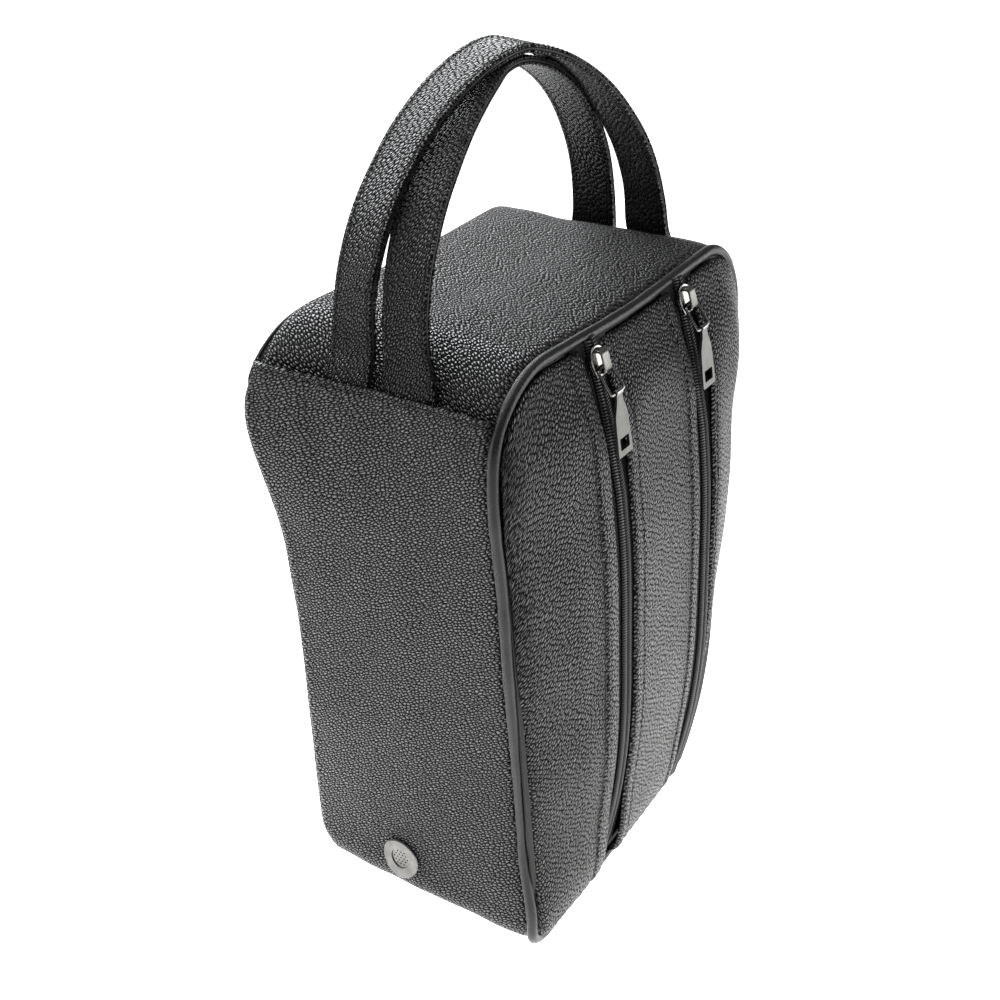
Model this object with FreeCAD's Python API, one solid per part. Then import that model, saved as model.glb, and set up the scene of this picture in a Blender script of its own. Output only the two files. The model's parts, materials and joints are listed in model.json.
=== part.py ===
import FreeCAD, Part
import math
import os

# Upright leather shoe bag: a boxy body with a bowed front holding two vertical
# zips, corded piping round the front and back edges, two crossing carry handles
# sewn into the side seams and a perforated vent low on each side.
# Millimetres. Origin at the middle of the base on the floor, front faces -Y, Z is up.

V = FreeCAD.Vector
X_AXIS = V(1, 0, 0)
Y_AXIS = V(0, 1, 0)
Z_AXIS = V(0, 0, 1)

# ---- driving dimensions ----------------------------------------------------
BAG_WIDTH = 244.0          # across the side gussets
BAG_HEIGHT = 350.0         # floor to the top panel
PIPING_Y = 72.0            # depth of each piping ring from the middle
SEAM_Z = 331.0             # where a gusset overlaps the top panel
CLEAR = 0.1                # gap left between neighbouring pieces

LEATHER = 2.2              # front, back and top leather with its backing
GUSSET_LEATHER = 2.4
CORNER_LOW = 20.0          # outer corner radii of the body
CORNER_HIGH = 38.0
TOP_HALF_WIDTH = 117.8     # top panel, set in so that the straps lie over it
TOP_SKIRT_Z = 317.0        # lower edge of the top panel behind the gusset

PIPING_RADIUS = 3.0
PIPING_BORE = 1.7
PIPING_CORD = 1.6
PIPING_CORNER_HIGH = 40.0
PIPING_CORNER_LOW = 18.5
PIPING_HALF_WIDTH = 121.5
PIPING_HIGH = 348.5
FLANGE_HALF = 0.4          # half thickness of the sewn flange of the piping
FLANGE_INSET = 8.0         # how far the flange reaches in from the cord
BINDING_THICKNESS = 1.3
PANEL_INSET = PIPING_RADIUS + 0.2

BOW_RADIUS = 625.0         # vertical curve of the front, along both zips
BOW_APEX = 100.0           # how far forward the curve reaches
BOW_MID_Z = 175.0
BACK_APEX = 87.0
BACK_FLAT_HALF = 60.0
EDGE_APEX = 76.9           # nearly straight curve where a panel meets the piping

ZIP_X = 46.0               # distance of each zip from the middle
ZIP_GAP_HALF = 9.0         # leather stops this far from the zip's middle
ZIP_FLAT_HALF = 16.5       # the front keeps its pure curve this far out
TAPE_HALF = 16.5
TAPE_DEPTH = (2.6, 3.3)    # depths are measured in from the leather's face
COIL_HALF = 4.7
COIL_DEPTH = (0.1, 2.5)
CHAIN_SLOT_HALF = 0.6      # slot between the two halves of the chain

SLIDER_Z = 333.0           # slider with the zip closed
SLIDER_HALF_WIDTH = 6.6
SLIDER_PLATE = (0.05, 1.7)     # heights are measured out from the leather's face
SLIDER_UNDER = (3.4, 4.8)
SLIDER_HEAD = -8.1         # along the slider, downwards is positive
SLIDER_SHOULDER = -1.5
SLIDER_TOE = 8.0
SLIDER_TOE_HALF = 4.2
SLIDER_POST_HALF = 0.5
CROWN_HALF_WIDTH = 3.2
CROWN_SPAN = (-6.2, 6.1)
CROWN_HIGH = 6.2
CROWN_WALL = 1.2

LINK_WIRE = 0.75           # wire radius of the pull link
LINK_HALF = 6.3
LINK_PIVOT = (3.9, 3.4)    # along, height
LINK_LENGTH = 13.7
LINK_TILT = -19.4          # degrees; below zero it stands out from the zip
TAB_TILT = 8.0
TAB_HALF_THICK = 0.7
TAB_EYE = 1.65
TAB_BORE = 0.9
TAB_LENGTH = 34.0
TAB_NECK_HALF = 2.9
TAB_SHOULDER = (11.0, 5.6)     # along, half width
TAB_END_HALF = 6.9
TAB_WINDOW = (24.2, 30.7)
TAB_WINDOW_HALF = 4.4

STRAP_HALF = 14.2          # half the width of a handle strap
STRAP_Y = 20.8             # middle of each strap at its root
STRAP_LAYERS = {"outer": (0.75, 2.1), "core": (-0.7, 0.7), "inner": (-2.1, -0.75)}
TAIL_X = 118.0             # inner face of each strap end in the seam
TAIL_THICKNESS = 4.2
TAIL_SKIVED = 1.5          # thickness of the strap end inside the seam
TAIL_TOP_Z = 338.0
HINGE_Z = 346.5
ARCHES = {"upper": (121.2, 118.5), "lower": (116.4, 112.5)}    # half span, rise
ARCH_POWER = 1.11
ARCH_STEPS = 24

VENT_Y = 12.6
VENT_Z = 26.5
VENT_RADIUS = 12.25
VENT_BARREL = 7.2
VENT_RECESS = 6.4
VENT_HOLE = 0.5
VENT_PITCH = 2.3

BOARD_HALF = (98.0, 66.0)
BOARD_Z = (2.5, 4.7)
LINING = 0.9
LINING_HALF = 113.2
LINING_Z = (4.9, 346.0)
LINING_CORNERS = (14.0, 33.0)
LINING_Y = 68.8
DIVIDER_HALF = 1.1
ANCHOR_THICKNESS = 1.6

BODY_HALF = BAG_WIDTH / 2
BODY_EDGE_Y = PIPING_Y - PIPING_RADIUS - CLEAR
FAR = 400.0                # larger than the bag, for trimming blocks


# ---- small helpers ---------------------------------------------------------
def block(x, y, z):
    """A box from three (low, high) pairs."""
    return Part.makeBox(x[1] - x[0], y[1] - y[0], z[1] - z[0], V(x[0], y[0], z[0]))


def line(a, b):
    return Part.makeLine(a, b)


def corner(cx, cz, radius, start, y):
    """A quarter round in the XZ plane, from the angle start, anticlockwise."""
    points = []
    for step in range(3):
        angle = math.radians(start + 45 * step)
        points.append(V(cx + radius * math.cos(angle), y, cz + radius * math.sin(angle)))
    return Part.Arc(*points).toShape()


def outline(half, low, high, corners, y):
    """Closed upright outline at depth y, with lower and upper corner radii."""
    r_low, r_high = corners
    in_low = half - r_low
    in_high = half - r_high
    edges = [
        line(V(-in_low, y, low), V(in_low, y, low)),
        corner(in_low, low + r_low, r_low, 270, y),
        line(V(half, y, low + r_low), V(half, y, high - r_high)),
        corner(in_high, high - r_high, r_high, 0, y),
        line(V(in_high, y, high), V(-in_high, y, high)),
        corner(-in_high, high - r_high, r_high, 90, y),
        line(V(-half, y, high - r_high), V(-half, y, low + r_low)),
        corner(-in_low, low + r_low, r_low, 180, y),
    ]
    return Part.Wire(edges)


def upright(half, low, high, corners, y):
    """The outline filled from y[0] to y[1]."""
    face = Part.Face(outline(half, low, high, corners, y[0]))
    return face.extrude(V(0, y[1] - y[0], 0))


def piping_inset(inset, y):
    """The area inside the piping's centre line, drawn in by inset."""
    corners = (PIPING_CORNER_LOW - inset, PIPING_CORNER_HIGH - inset)
    low = PIPING_RADIUS + inset
    return upright(PIPING_HALF_WIDTH - inset, low, PIPING_HIGH - inset, corners, y)


def flip_x(shape):
    return shape.mirror(V(0, 0, 0), X_AXIS)


def flip_y(shape):
    return shape.mirror(V(0, 0, 0), Y_AXIS)


def sided(shape, side):
    """A piece drawn for the right side, put on the side asked for."""
    return shape if side == "right" else flip_x(shape)


# ---- body panels -----------------------------------------------------------
def bow_y(apex, radius, depth, z):
    """How far forward a bowed skin is at height z, depth below its face."""
    centre = apex - radius
    return centre + math.sqrt((radius - depth) ** 2 - (z - BOW_MID_Z) ** 2)


def bow_section(x, apex, radius, depths):
    """Closed section of a bowed skin in the plane at x, for the front (-Y)."""
    wire = []
    ends = []
    for depth in depths:
        heights = (0.0, BOW_MID_Z, BAG_HEIGHT)
        points = [V(x, -bow_y(apex, radius, depth, z), z) for z in heights]
        wire.append(Part.Arc(*points).toShape())
        ends.append((points[0], points[2]))
    wire.append(line(ends[0][0], ends[1][0]))
    wire.append(line(ends[0][1], ends[1][1]))
    return Part.Wire(Part.__sortEdges__(wire))


def bow_radius(apex, edge):
    """Radius of the curve that reaches apex and comes back to edge at top and floor."""
    rise = apex - edge
    return (BOW_MID_Z ** 2 + rise ** 2) / (2 * rise)


def bow_band(x, depths, apex=BOW_APEX, radius=BOW_RADIUS):
    """A strip of bowed skin between two x values."""
    face = Part.Face(bow_section(x[0], apex, radius, depths))
    return face.extrude(V(x[1] - x[0], 0, 0))


def bow_taper(x, apex, radius):
    """Skin that eases from the full bow at x[0] to nearly straight at x[1]."""
    depths = (0.0, LEATHER)
    near = bow_section(x[0], apex, radius, depths)
    edge_radius = bow_radius(EDGE_APEX, EDGE_APEX - 1.5)
    far = bow_section(x[1], EDGE_APEX, edge_radius, depths)
    return Part.makeLoft([near, far], True, True)


def front_area():
    """Everything inside the piping, in front of its flange."""
    return piping_inset(PANEL_INSET, (-BOW_APEX - 20, -PIPING_Y - FLANGE_HALF - CLEAR))


def front_panel_center():
    inner = ZIP_X - ZIP_GAP_HALF
    return bow_band((-inner, inner), (0.0, LEATHER)).common(front_area())


def front_panel_side(side):
    """Outer front panel: the zip's curve beside the zip, then easing to the piping."""
    start = ZIP_X + ZIP_GAP_HALF
    ease = ZIP_X + ZIP_FLAT_HALF
    band = bow_band((start, ease), (0.0, LEATHER))
    taper = bow_taper((ease, PIPING_HALF_WIDTH), BOW_APEX, BOW_RADIUS)
    return sided(band.fuse(taper).removeSplitter().common(front_area()), side)


def back_panel():
    radius = bow_radius(BACK_APEX, EDGE_APEX - 1.5)
    middle = bow_band((-BACK_FLAT_HALF, BACK_FLAT_HALF), (0.0, LEATHER), BACK_APEX, radius)
    right = bow_taper((BACK_FLAT_HALF, PIPING_HALF_WIDTH), BACK_APEX, radius)
    skin = middle.multiFuse([right, flip_x(right)]).removeSplitter()
    return flip_y(skin.common(front_area()))


def side_gusset(side):
    """Side wall with its rounded lower corner and the hole for the vent."""
    depth = (-BODY_EDGE_Y, BODY_EDGE_Y)
    tall = BAG_HEIGHT + CORNER_HIGH
    wall = GUSSET_LEATHER
    corners = (CORNER_LOW, CORNER_HIGH)
    inner_corners = (CORNER_LOW - wall, CORNER_HIGH - wall)
    outer = upright(BODY_HALF, 0, tall, corners, depth)
    inner = upright(BODY_HALF - wall, wall, tall - wall, inner_corners, depth)
    seam_x = BODY_HALF - CORNER_LOW + CLEAR / 2
    keep = block((seam_x, BODY_HALF + 1), depth, (-1, SEAM_Z))
    hole = Part.makeCylinder(VENT_BARREL + CLEAR, 20, V(BODY_HALF - 10, VENT_Y, VENT_Z), X_AXIS)
    return sided(outer.cut(inner).common(keep).cut(hole), side)


def top_panel():
    """Top with large rounded corners and a skirt that hangs behind the gussets."""
    depth = (-BODY_EDGE_Y, BODY_EDGE_Y)
    corners = (10.0, CORNER_HIGH)
    inner_corners = (10.0, CORNER_HIGH - LEATHER)
    outer = upright(TOP_HALF_WIDTH, 0, BAG_HEIGHT, corners, depth)
    inner = upright(TOP_HALF_WIDTH - LEATHER, 0, BAG_HEIGHT - LEATHER, inner_corners, depth)
    keep = block((-FAR, FAR), depth, (TOP_SKIRT_Z, BAG_HEIGHT + 1))
    return outer.cut(inner).common(keep)


def base_panel():
    half = BODY_HALF - CORNER_LOW - CLEAR / 2
    return block((-half, half), (-BODY_EDGE_Y, BODY_EDGE_Y), (0, GUSSET_LEATHER))


# ---- piping ----------------------------------------------------------------
def ring_face(centre, direction, outer, bore):
    """A disc, or a washer where there is a bore, square to direction."""
    face = Part.Face(Part.Wire(Part.makeCircle(outer, centre, direction)))
    if bore:
        face = face.cut(Part.Face(Part.Wire(Part.makeCircle(bore, centre, direction))))
    return face


def piping_ring(outer, bore=0.0):
    """A rod or tube that runs round the front edge."""
    y = -PIPING_Y
    half = PIPING_HALF_WIDTH
    low = PIPING_RADIUS
    r_low = PIPING_CORNER_LOW
    r_high = PIPING_CORNER_HIGH
    z_low = low + r_low
    z_high = PIPING_HIGH - r_high
    in_low = half - r_low
    in_high = half - r_high
    side = ring_face(V(half, y, z_low), Z_AXIS, outer, bore).extrude(V(0, 0, z_high - z_low))
    upper = ring_face(V(half, y, z_high), Z_AXIS, outer, bore)
    upper = upper.revolve(V(in_high, y, z_high), -Y_AXIS, 90)
    lower = ring_face(V(half, y, z_low), Z_AXIS, outer, bore)
    lower = lower.revolve(V(in_low, y, z_low), Y_AXIS, 90)
    top = ring_face(V(-in_high, y, PIPING_HIGH), X_AXIS, outer, bore).extrude(V(2 * in_high, 0, 0))
    bottom = ring_face(V(-in_low, y, low), X_AXIS, outer, bore).extrude(V(2 * in_low, 0, 0))
    pieces = [side, upper, lower, flip_x(side), flip_x(upper), flip_x(lower), bottom]
    return top.multiFuse(pieces).removeSplitter()


def piping_cover():
    """Leather wrapped round the cord, with the flange that is sewn into the seam."""
    depth = (-PIPING_Y - FLANGE_HALF, -PIPING_Y + FLANGE_HALF)
    wrap = (PIPING_BORE + PIPING_RADIUS) / 2
    flange = piping_inset(wrap, depth).cut(piping_inset(FLANGE_INSET, depth))
    return piping_ring(PIPING_RADIUS, PIPING_BORE).fuse(flange)


def seam_binding():
    """Tape that binds the raw edges of the seam behind the flange."""
    near = -PIPING_Y + FLANGE_HALF + CLEAR
    depth = (near, near + BINDING_THICKNESS)
    inner = piping_inset(FLANGE_INSET, depth)
    return piping_inset(PIPING_RADIUS + 1.5, depth).cut(inner)


# ---- inside ----------------------------------------------------------------
def lining_space(shrink, y):
    corners = (LINING_CORNERS[0] - shrink, LINING_CORNERS[1] - shrink)
    low, high = LINING_Z
    return upright(LINING_HALF - shrink, low + shrink, high - shrink, corners, y)


def lining(side):
    """Fabric box of one compartment, open towards its zip."""
    gap = DIVIDER_HALF + 2 * CLEAR
    outer = lining_space(0, (-LINING_Y, LINING_Y))
    outer = outer.common(block((gap, FAR), (-FAR, FAR), (-FAR, FAR)))
    inner = lining_space(LINING, (-LINING_Y - 1, LINING_Y - LINING))
    inner = inner.common(block((gap + LINING, FAR), (-FAR, FAR), (-FAR, FAR)))
    hole = Part.makeCylinder(VENT_BARREL, 20, V(LINING_HALF - 10, VENT_Y, VENT_Z), X_AXIS)
    return sided(outer.cut(inner).cut(hole), side)


def divider_panel():
    """Stiff wall that keeps the two shoes apart."""
    slab = block((-DIVIDER_HALF, DIVIDER_HALF), (-FAR, FAR), (-FAR, FAR))
    return lining_space(0, (-LINING_Y, LINING_Y)).common(slab)


def base_board():
    return block((-BOARD_HALF[0], BOARD_HALF[0]), (-BOARD_HALF[1], BOARD_HALF[1]), BOARD_Z)


def handle_anchor(side):
    """Reinforcing strip sewn behind the top panel's skirt and both strap ends on one side."""
    reach = (-STRAP_Y - STRAP_HALF - 5, STRAP_Y + STRAP_HALF + 5)
    shells = []
    for depth in (LEATHER + CLEAR, LEATHER + CLEAR + ANCHOR_THICKNESS):
        corners = (10.0, CORNER_HIGH - depth)
        shells.append(upright(TOP_HALF_WIDTH - depth, 0, BAG_HEIGHT - depth, corners, reach))
    keep = block((0, FAR), reach, (TOP_SKIRT_Z + 1, SEAM_Z - 1))
    return sided(shells[0].cut(shells[1]).common(keep), side)


# ---- vents -----------------------------------------------------------------
def vent_disc(radius, x):
    return Part.makeCylinder(radius, x[1] - x[0], V(x[0], VENT_Y, VENT_Z), X_AXIS)


def vent_cap(side):
    """Turned disc with a recessed, perforated middle and a barrel through the leather."""
    face_x = BODY_HALF + CLEAR / 2
    flange = vent_disc(VENT_RADIUS, (face_x, face_x + 1.2))
    flange = flange.makeChamfer(0.5, [edge for edge in flange.Edges
                                      if edge.BoundBox.XMin > face_x + 1.1])
    barrel = vent_disc(VENT_BARREL, (face_x - 4, face_x + 0.1))
    recess = vent_disc(VENT_RECESS, (face_x + 0.5, face_x + 2))
    throat = vent_disc(VENT_RECESS, (face_x - 5, face_x - 0.3))
    cap = flange.fuse(barrel).cut(recess).cut(throat)
    holes = []
    for row in range(-2, 3):
        count = 5 - abs(row)
        for index in range(count):
            y = VENT_Y + (index - (count - 1) / 2) * VENT_PITCH
            z = VENT_Z + row * VENT_PITCH * math.sqrt(3) / 2
            holes.append(Part.makeCylinder(VENT_HOLE, 6, V(face_x - 3, y, z), X_AXIS))
    return sided(cap.cut(Part.Compound(holes)), side)


def vent_washer(side):
    """Ring pressed on the barrel inside, small enough to clear the rounded lower corner."""
    inner_x = BODY_HALF - GUSSET_LEATHER
    span = (inner_x - 1.8, inner_x - 0.5)
    washer = vent_disc(VENT_BARREL + 2.8, span).cut(vent_disc(VENT_BARREL + CLEAR, span))
    return sided(washer, side)


# ---- zips ------------------------------------------------------------------
def chain_strip(middle, reach, depths, direction):
    """Half of the zip: a strip from the chain's slot outwards, to one side of it."""
    low, high = sorted((middle + direction * CHAIN_SLOT_HALF, middle + direction * reach))
    return bow_band((low, high), depths).common(front_area())


def at_slider(shape):
    """Carry a piece drawn at the middle of the curve up to the closed slider."""
    lift = math.degrees(math.asin((SLIDER_Z - BOW_MID_Z) / BOW_RADIUS))
    moved = shape.copy()
    moved.rotate(V(0, BOW_RADIUS - BOW_APEX, BOW_MID_Z), X_AXIS, -lift)
    return moved


def local(across, along, height):
    """Slider coordinates: across the zip, down along it, out from the leather."""
    return V(ZIP_X + across, -BOW_APEX - height, BOW_MID_Z - along)


def slab(across, along, height):
    """A box in slider coordinates, from three (low, high) pairs."""
    a = local(across[0], along[1], height[1])
    size = (across[1] - across[0], height[1] - height[0], along[1] - along[0])
    return Part.makeBox(*size, a)


def slider_plate(height):
    """The slider's outline, round at the head and narrow at the toe."""
    h = height[0]
    toe_right = local(SLIDER_TOE_HALF, SLIDER_TOE, h)
    toe_left = local(-SLIDER_TOE_HALF, SLIDER_TOE, h)
    right = local(SLIDER_HALF_WIDTH, SLIDER_SHOULDER, h)
    left = local(-SLIDER_HALF_WIDTH, SLIDER_SHOULDER, h)
    head = Part.Arc(right, local(0, SLIDER_HEAD, h), left).toShape()
    wire = Part.Wire([line(toe_left, toe_right), line(toe_right, right), head, line(left, toe_left)])
    return Part.Face(wire).extrude(V(0, height[0] - height[1], 0))


def slider_body():
    """Two plates joined by a post that runs in the slot of the chain."""
    top = slider_plate(SLIDER_PLATE)
    under = slider_plate((-SLIDER_UNDER[1], -SLIDER_UNDER[0]))
    flanges = slider_plate((-TAPE_DEPTH[0] + 0.15, SLIDER_PLATE[0]))
    channel_half = COIL_HALF + 0.2
    channel = slab((-channel_half, channel_half), (-20, 20), (-TAPE_DEPTH[0], SLIDER_PLATE[0]))
    post = slab((-SLIDER_POST_HALF, SLIDER_POST_HALF), (SLIDER_HEAD + 1, SLIDER_SHOULDER),
                (-SLIDER_UNDER[0], SLIDER_PLATE[0]))
    return top.multiFuse([under, flanges.cut(channel), post])


def slider_crown():
    """Bridge over the plate that keeps the pull link in."""
    foot = SLIDER_PLATE[1] + CLEAR / 2
    start, end = CROWN_SPAN
    width = (-CROWN_HALF_WIDTH, CROWN_HALF_WIDTH)
    bridge = slab(width, (start, end), (foot, CROWN_HIGH))
    tops = [edge for edge in bridge.Edges if edge.BoundBox.YMax < -BOW_APEX - CROWN_HIGH + 0.01
            and edge.BoundBox.XLength > 1]
    bridge = bridge.makeFillet(2.0, tops)
    window = (start + 1.5, end - CROWN_WALL)
    tunnel = slab((-9, 9), window, (foot - 1, CROWN_HIGH - 1.2))
    return bridge.cut(tunnel)


def slider_spring():
    """Leaf spring under the roof of the crown that locks the slider."""
    return slab((-1.4, 1.4), (CROWN_SPAN[0] + 1.7, 2.0), (4.3, 4.6))


def rod(a, b, radius):
    direction = b - a
    return Part.makeCylinder(radius, direction.Length, a, direction)


def pull_link():
    """Bent wire loop: top bar under the crown, two arms and the bar that holds the tab."""
    along, height = LINK_PIVOT
    posts = [(-LINK_HALF, along), (LINK_HALF, along), (LINK_HALF, along + LINK_LENGTH),
             (-LINK_HALF, along + LINK_LENGTH)]
    points = [local(across, down, height) for across, down in posts]
    pieces = []
    for index, point in enumerate(points):
        pieces.append(rod(point, points[(index + 1) % 4], LINK_WIRE))
        pieces.append(Part.makeSphere(LINK_WIRE, point))
    loop = pieces[0].multiFuse(pieces[1:])
    loop.rotate(local(0, along, height), X_AXIS, LINK_TILT)
    return loop


def tab_plate(start):
    """Flat of the pull tab: narrow neck, then shoulders that widen to the end."""
    rows = [(0.9, TAB_NECK_HALF), (4.0, TAB_NECK_HALF), TAB_SHOULDER,
            (TAB_LENGTH, TAB_END_HALF)]
    h = LINK_PIVOT[1] + TAB_HALF_THICK
    right = [local(half, start + down, h) for down, half in rows]
    left = [local(-half, start + down, h) for down, half in reversed(rows)]
    ring = right + left + right[:1]
    plate = Part.Face(Part.makePolygon(ring)).extrude(V(0, 2 * TAB_HALF_THICK, 0))
    window = slab((-TAB_WINDOW_HALF, TAB_WINDOW_HALF),
                  (start + TAB_WINDOW[0], start + TAB_WINDOW[1]), (h - 5, h + 5))
    return plate.cut(window)


def pull_tab():
    """Pull tab with an eye that turns on the link's lower bar."""
    along, height = LINK_PIVOT
    start = along + LINK_LENGTH
    left_end = local(-TAB_NECK_HALF, start, height)
    right_end = local(TAB_NECK_HALF, start, height)
    eye = rod(left_end, right_end, TAB_EYE)
    bore = rod(local(-9, start, height), local(9, start, height), TAB_BORE)
    tab = tab_plate(start).fuse(eye).cut(bore)
    tab.rotate(local(0, start, height), X_AXIS, TAB_TILT - LINK_TILT)
    tab.rotate(local(0, along, height), X_AXIS, LINK_TILT)
    return tab


# ---- handles ---------------------------------------------------------------
# The straps cross: the upper one runs from the left rear to the right front, the
# lower one from the left front to the right rear, underneath it. Each is drawn as
# an arch in the XZ plane and then turned about Z onto its own diagonal.
def arch_turn(handle):
    """Degrees between the diagonal of a handle and the X axis."""
    turn = math.degrees(math.asin(STRAP_Y / ARCHES[handle][0]))
    return -turn if handle == "upper" else turn


def on_diagonal(shape, handle):
    shape.rotate(V(0, 0, 0), Z_AXIS, arch_turn(handle))
    return shape


def arch_point(handle, angle, offset):
    """Point of a handle's arch, offset outwards from its middle line."""
    span, high = ARCHES[handle]
    cos, sin = math.cos(angle), math.sin(angle)
    flat = abs(cos) < 1e-9
    x = 0.0 if flat else math.copysign(abs(cos) ** ARCH_POWER, cos) * span
    z = max(sin, 0.0) ** ARCH_POWER * high
    if abs(sin) < 1e-9:
        normal = V(math.copysign(1, cos), 0, 0)
    elif flat:
        normal = V(0, 0, 1)
    else:
        run = -span * abs(cos) ** (ARCH_POWER - 1) * sin
        rise = high * sin ** (ARCH_POWER - 1) * cos
        normal = V(rise, 0, -run)
        normal.normalize()
    return V(x, 0, HINGE_Z + z) + normal * offset


def arch_curve(handle, offset):
    """One edge of a strap layer, over the top from right to left."""
    angles = [math.pi * step / ARCH_STEPS for step in range(ARCH_STEPS + 1)]
    curve = Part.BSplineCurve()
    curve.interpolate(Points=[arch_point(handle, angle, offset) for angle in angles],
                      InitialTangent=V(0, 0, 1), FinalTangent=V(0, 0, -1))
    return curve.toShape()


def strap_ends(radius):
    """Everything above the hinge line, with round ends below it."""
    above = block((-FAR, FAR), (-FAR, FAR), (HINGE_Z, HINGE_Z + FAR))
    ends = Part.makeCylinder(radius, 2 * FAR, V(-FAR, 0, HINGE_Z), X_AXIS)
    return above.fuse(ends)


def handle_layer(handle, offsets):
    """One leather or filler layer of a handle."""
    low, high = offsets
    span = ARCHES[handle][0]
    foot = HINGE_Z - STRAP_HALF
    edges = [arch_curve(handle, low), arch_curve(handle, high)]
    for sign in (1, -1):
        near = sign * (span + low)
        far = sign * (span + high)
        edges.append(line(V(near, 0, HINGE_Z), V(near, 0, foot)))
        edges.append(line(V(near, 0, foot), V(far, 0, foot)))
        edges.append(line(V(far, 0, foot), V(far, 0, HINGE_Z)))
    face = Part.Face(Part.Wire(Part.__sortEdges__(edges)))
    face.translate(V(0, -STRAP_HALF, 0))
    layer = face.extrude(V(0, 2 * STRAP_HALF, 0)).common(strap_ends(STRAP_HALF))
    return on_diagonal(layer, handle)


def handle_tails(handle):
    """The two sewn ends of a handle, thinned where they enter the seam."""
    x_out = TAIL_X + TAIL_THICKNESS
    depth = (-STRAP_Y - STRAP_HALF, -STRAP_Y + STRAP_HALF)
    stub = block((TAIL_X, x_out), depth, (SEAM_Z + CLEAR, TAIL_TOP_Z))
    skived = block((TAIL_X, TAIL_X + TAIL_SKIVED), depth, (TOP_SKIRT_Z, SEAM_Z + 2 * CLEAR))
    right = stub.fuse(skived)
    if handle == "lower":
        right = flip_y(right)
    swing = Part.makeCylinder(STRAP_HALF + 0.15, 2 * FAR, V(-FAR, 0, HINGE_Z), X_AXIS)
    right = right.cut(on_diagonal(swing, handle))
    left = right.copy()
    left.rotate(V(0, 0, 0), Z_AXIS, 180)
    return Part.Compound([right, left])


# ---- all nodes -------------------------------------------------------------
def body_nodes():
    nodes = {
        "front_panel_center": front_panel_center(),
        "back_panel": back_panel(),
        "top_panel": top_panel(),
        "base_panel": base_panel(),
        "divider_panel": divider_panel(),
        "base_board": base_board(),
    }
    for side in ("left", "right"):
        nodes["front_panel_" + side] = front_panel_side(side)
        nodes["side_gusset_" + side] = side_gusset(side)
        nodes["lining_" + side] = lining(side)
        nodes["handle_anchor_" + side] = handle_anchor(side)
        nodes["vent_cap_" + side] = vent_cap(side)
        nodes["vent_washer_" + side] = vent_washer(side)
    return nodes


def edge_nodes():
    """Piping and seam binding of the front, mirrored for the back."""
    nodes = {}
    front = {
        "piping_cover": piping_cover(),
        "piping_cord": piping_ring(PIPING_CORD),
        "seam_binding": seam_binding(),
    }
    for name, shape in front.items():
        nodes["front_" + name] = shape
        nodes["back_" + name] = flip_y(shape)
    return nodes


def zip_nodes():
    nodes = {}
    moving = {
        "slider_body": slider_body(),
        "slider_crown": slider_crown(),
        "slider_spring": slider_spring(),
        "pull_link": pull_link(),
        "pull_tab": pull_tab(),
    }
    for side in ("left", "right"):
        for half, direction in (("inner", -1), ("outer", 1)):
            tape = chain_strip(ZIP_X, TAPE_HALF, TAPE_DEPTH, direction)
            coil = chain_strip(ZIP_X, COIL_HALF, COIL_DEPTH, direction)
            nodes[side + "_zip_tape_" + half] = sided(tape, side)
            nodes[side + "_zip_coil_" + half] = sided(coil, side)
        for name, shape in moving.items():
            nodes[side + "_" + name] = sided(at_slider(shape), side)
    return nodes


def handle_nodes():
    nodes = {}
    for handle in ARCHES:
        for layer, offsets in STRAP_LAYERS.items():
            nodes[handle + "_handle_" + layer] = handle_layer(handle, offsets)
        nodes[handle + "_handle_tails"] = handle_tails(handle)
    return nodes


def main():
    os.makedirs("parts", exist_ok=True)
    nodes = {}
    for group in (body_nodes, edge_nodes, zip_nodes, handle_nodes):
        nodes.update(group())
    for name, shape in nodes.items():
        solids = shape.Solids
        if not solids or not all(solid.isValid() for solid in solids):
            raise ValueError(name + " is not a valid solid")
        shape = solids[0] if len(solids) == 1 else Part.Compound(solids)
        shape.exportStep("parts/" + name + ".step")
        print(name, len(solids), round(shape.Volume, 1))


main()
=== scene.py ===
import json
import math

import bmesh
import bpy
import numpy as np
from mathutils import Matrix, Vector


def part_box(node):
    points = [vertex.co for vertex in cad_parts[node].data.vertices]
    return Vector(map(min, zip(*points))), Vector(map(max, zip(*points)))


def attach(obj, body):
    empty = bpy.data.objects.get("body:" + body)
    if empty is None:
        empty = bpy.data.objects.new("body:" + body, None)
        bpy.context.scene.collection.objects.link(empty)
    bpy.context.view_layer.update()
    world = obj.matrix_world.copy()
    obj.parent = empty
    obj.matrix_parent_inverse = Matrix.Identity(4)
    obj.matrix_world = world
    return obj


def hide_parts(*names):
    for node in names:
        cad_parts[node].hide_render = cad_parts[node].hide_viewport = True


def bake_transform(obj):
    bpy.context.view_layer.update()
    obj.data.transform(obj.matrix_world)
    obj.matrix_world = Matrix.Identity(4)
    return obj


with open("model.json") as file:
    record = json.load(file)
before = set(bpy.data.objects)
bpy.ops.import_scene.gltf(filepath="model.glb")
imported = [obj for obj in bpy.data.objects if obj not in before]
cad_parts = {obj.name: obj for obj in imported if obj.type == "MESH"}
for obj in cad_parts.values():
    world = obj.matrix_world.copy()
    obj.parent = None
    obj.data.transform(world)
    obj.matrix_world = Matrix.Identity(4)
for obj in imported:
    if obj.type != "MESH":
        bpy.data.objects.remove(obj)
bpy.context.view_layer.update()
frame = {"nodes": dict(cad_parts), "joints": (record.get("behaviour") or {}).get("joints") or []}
JOINTS = {joint["name"]: joint for joint in frame["joints"]}

# ---- sizes, read from the frame, in millimetres -----------------------------
MM = 0.001


def low_high(node):
    """A CAD node's box in millimetres, as two arrays."""
    low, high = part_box(node)
    return np.array(low) / MM, np.array(high) / MM


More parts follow.
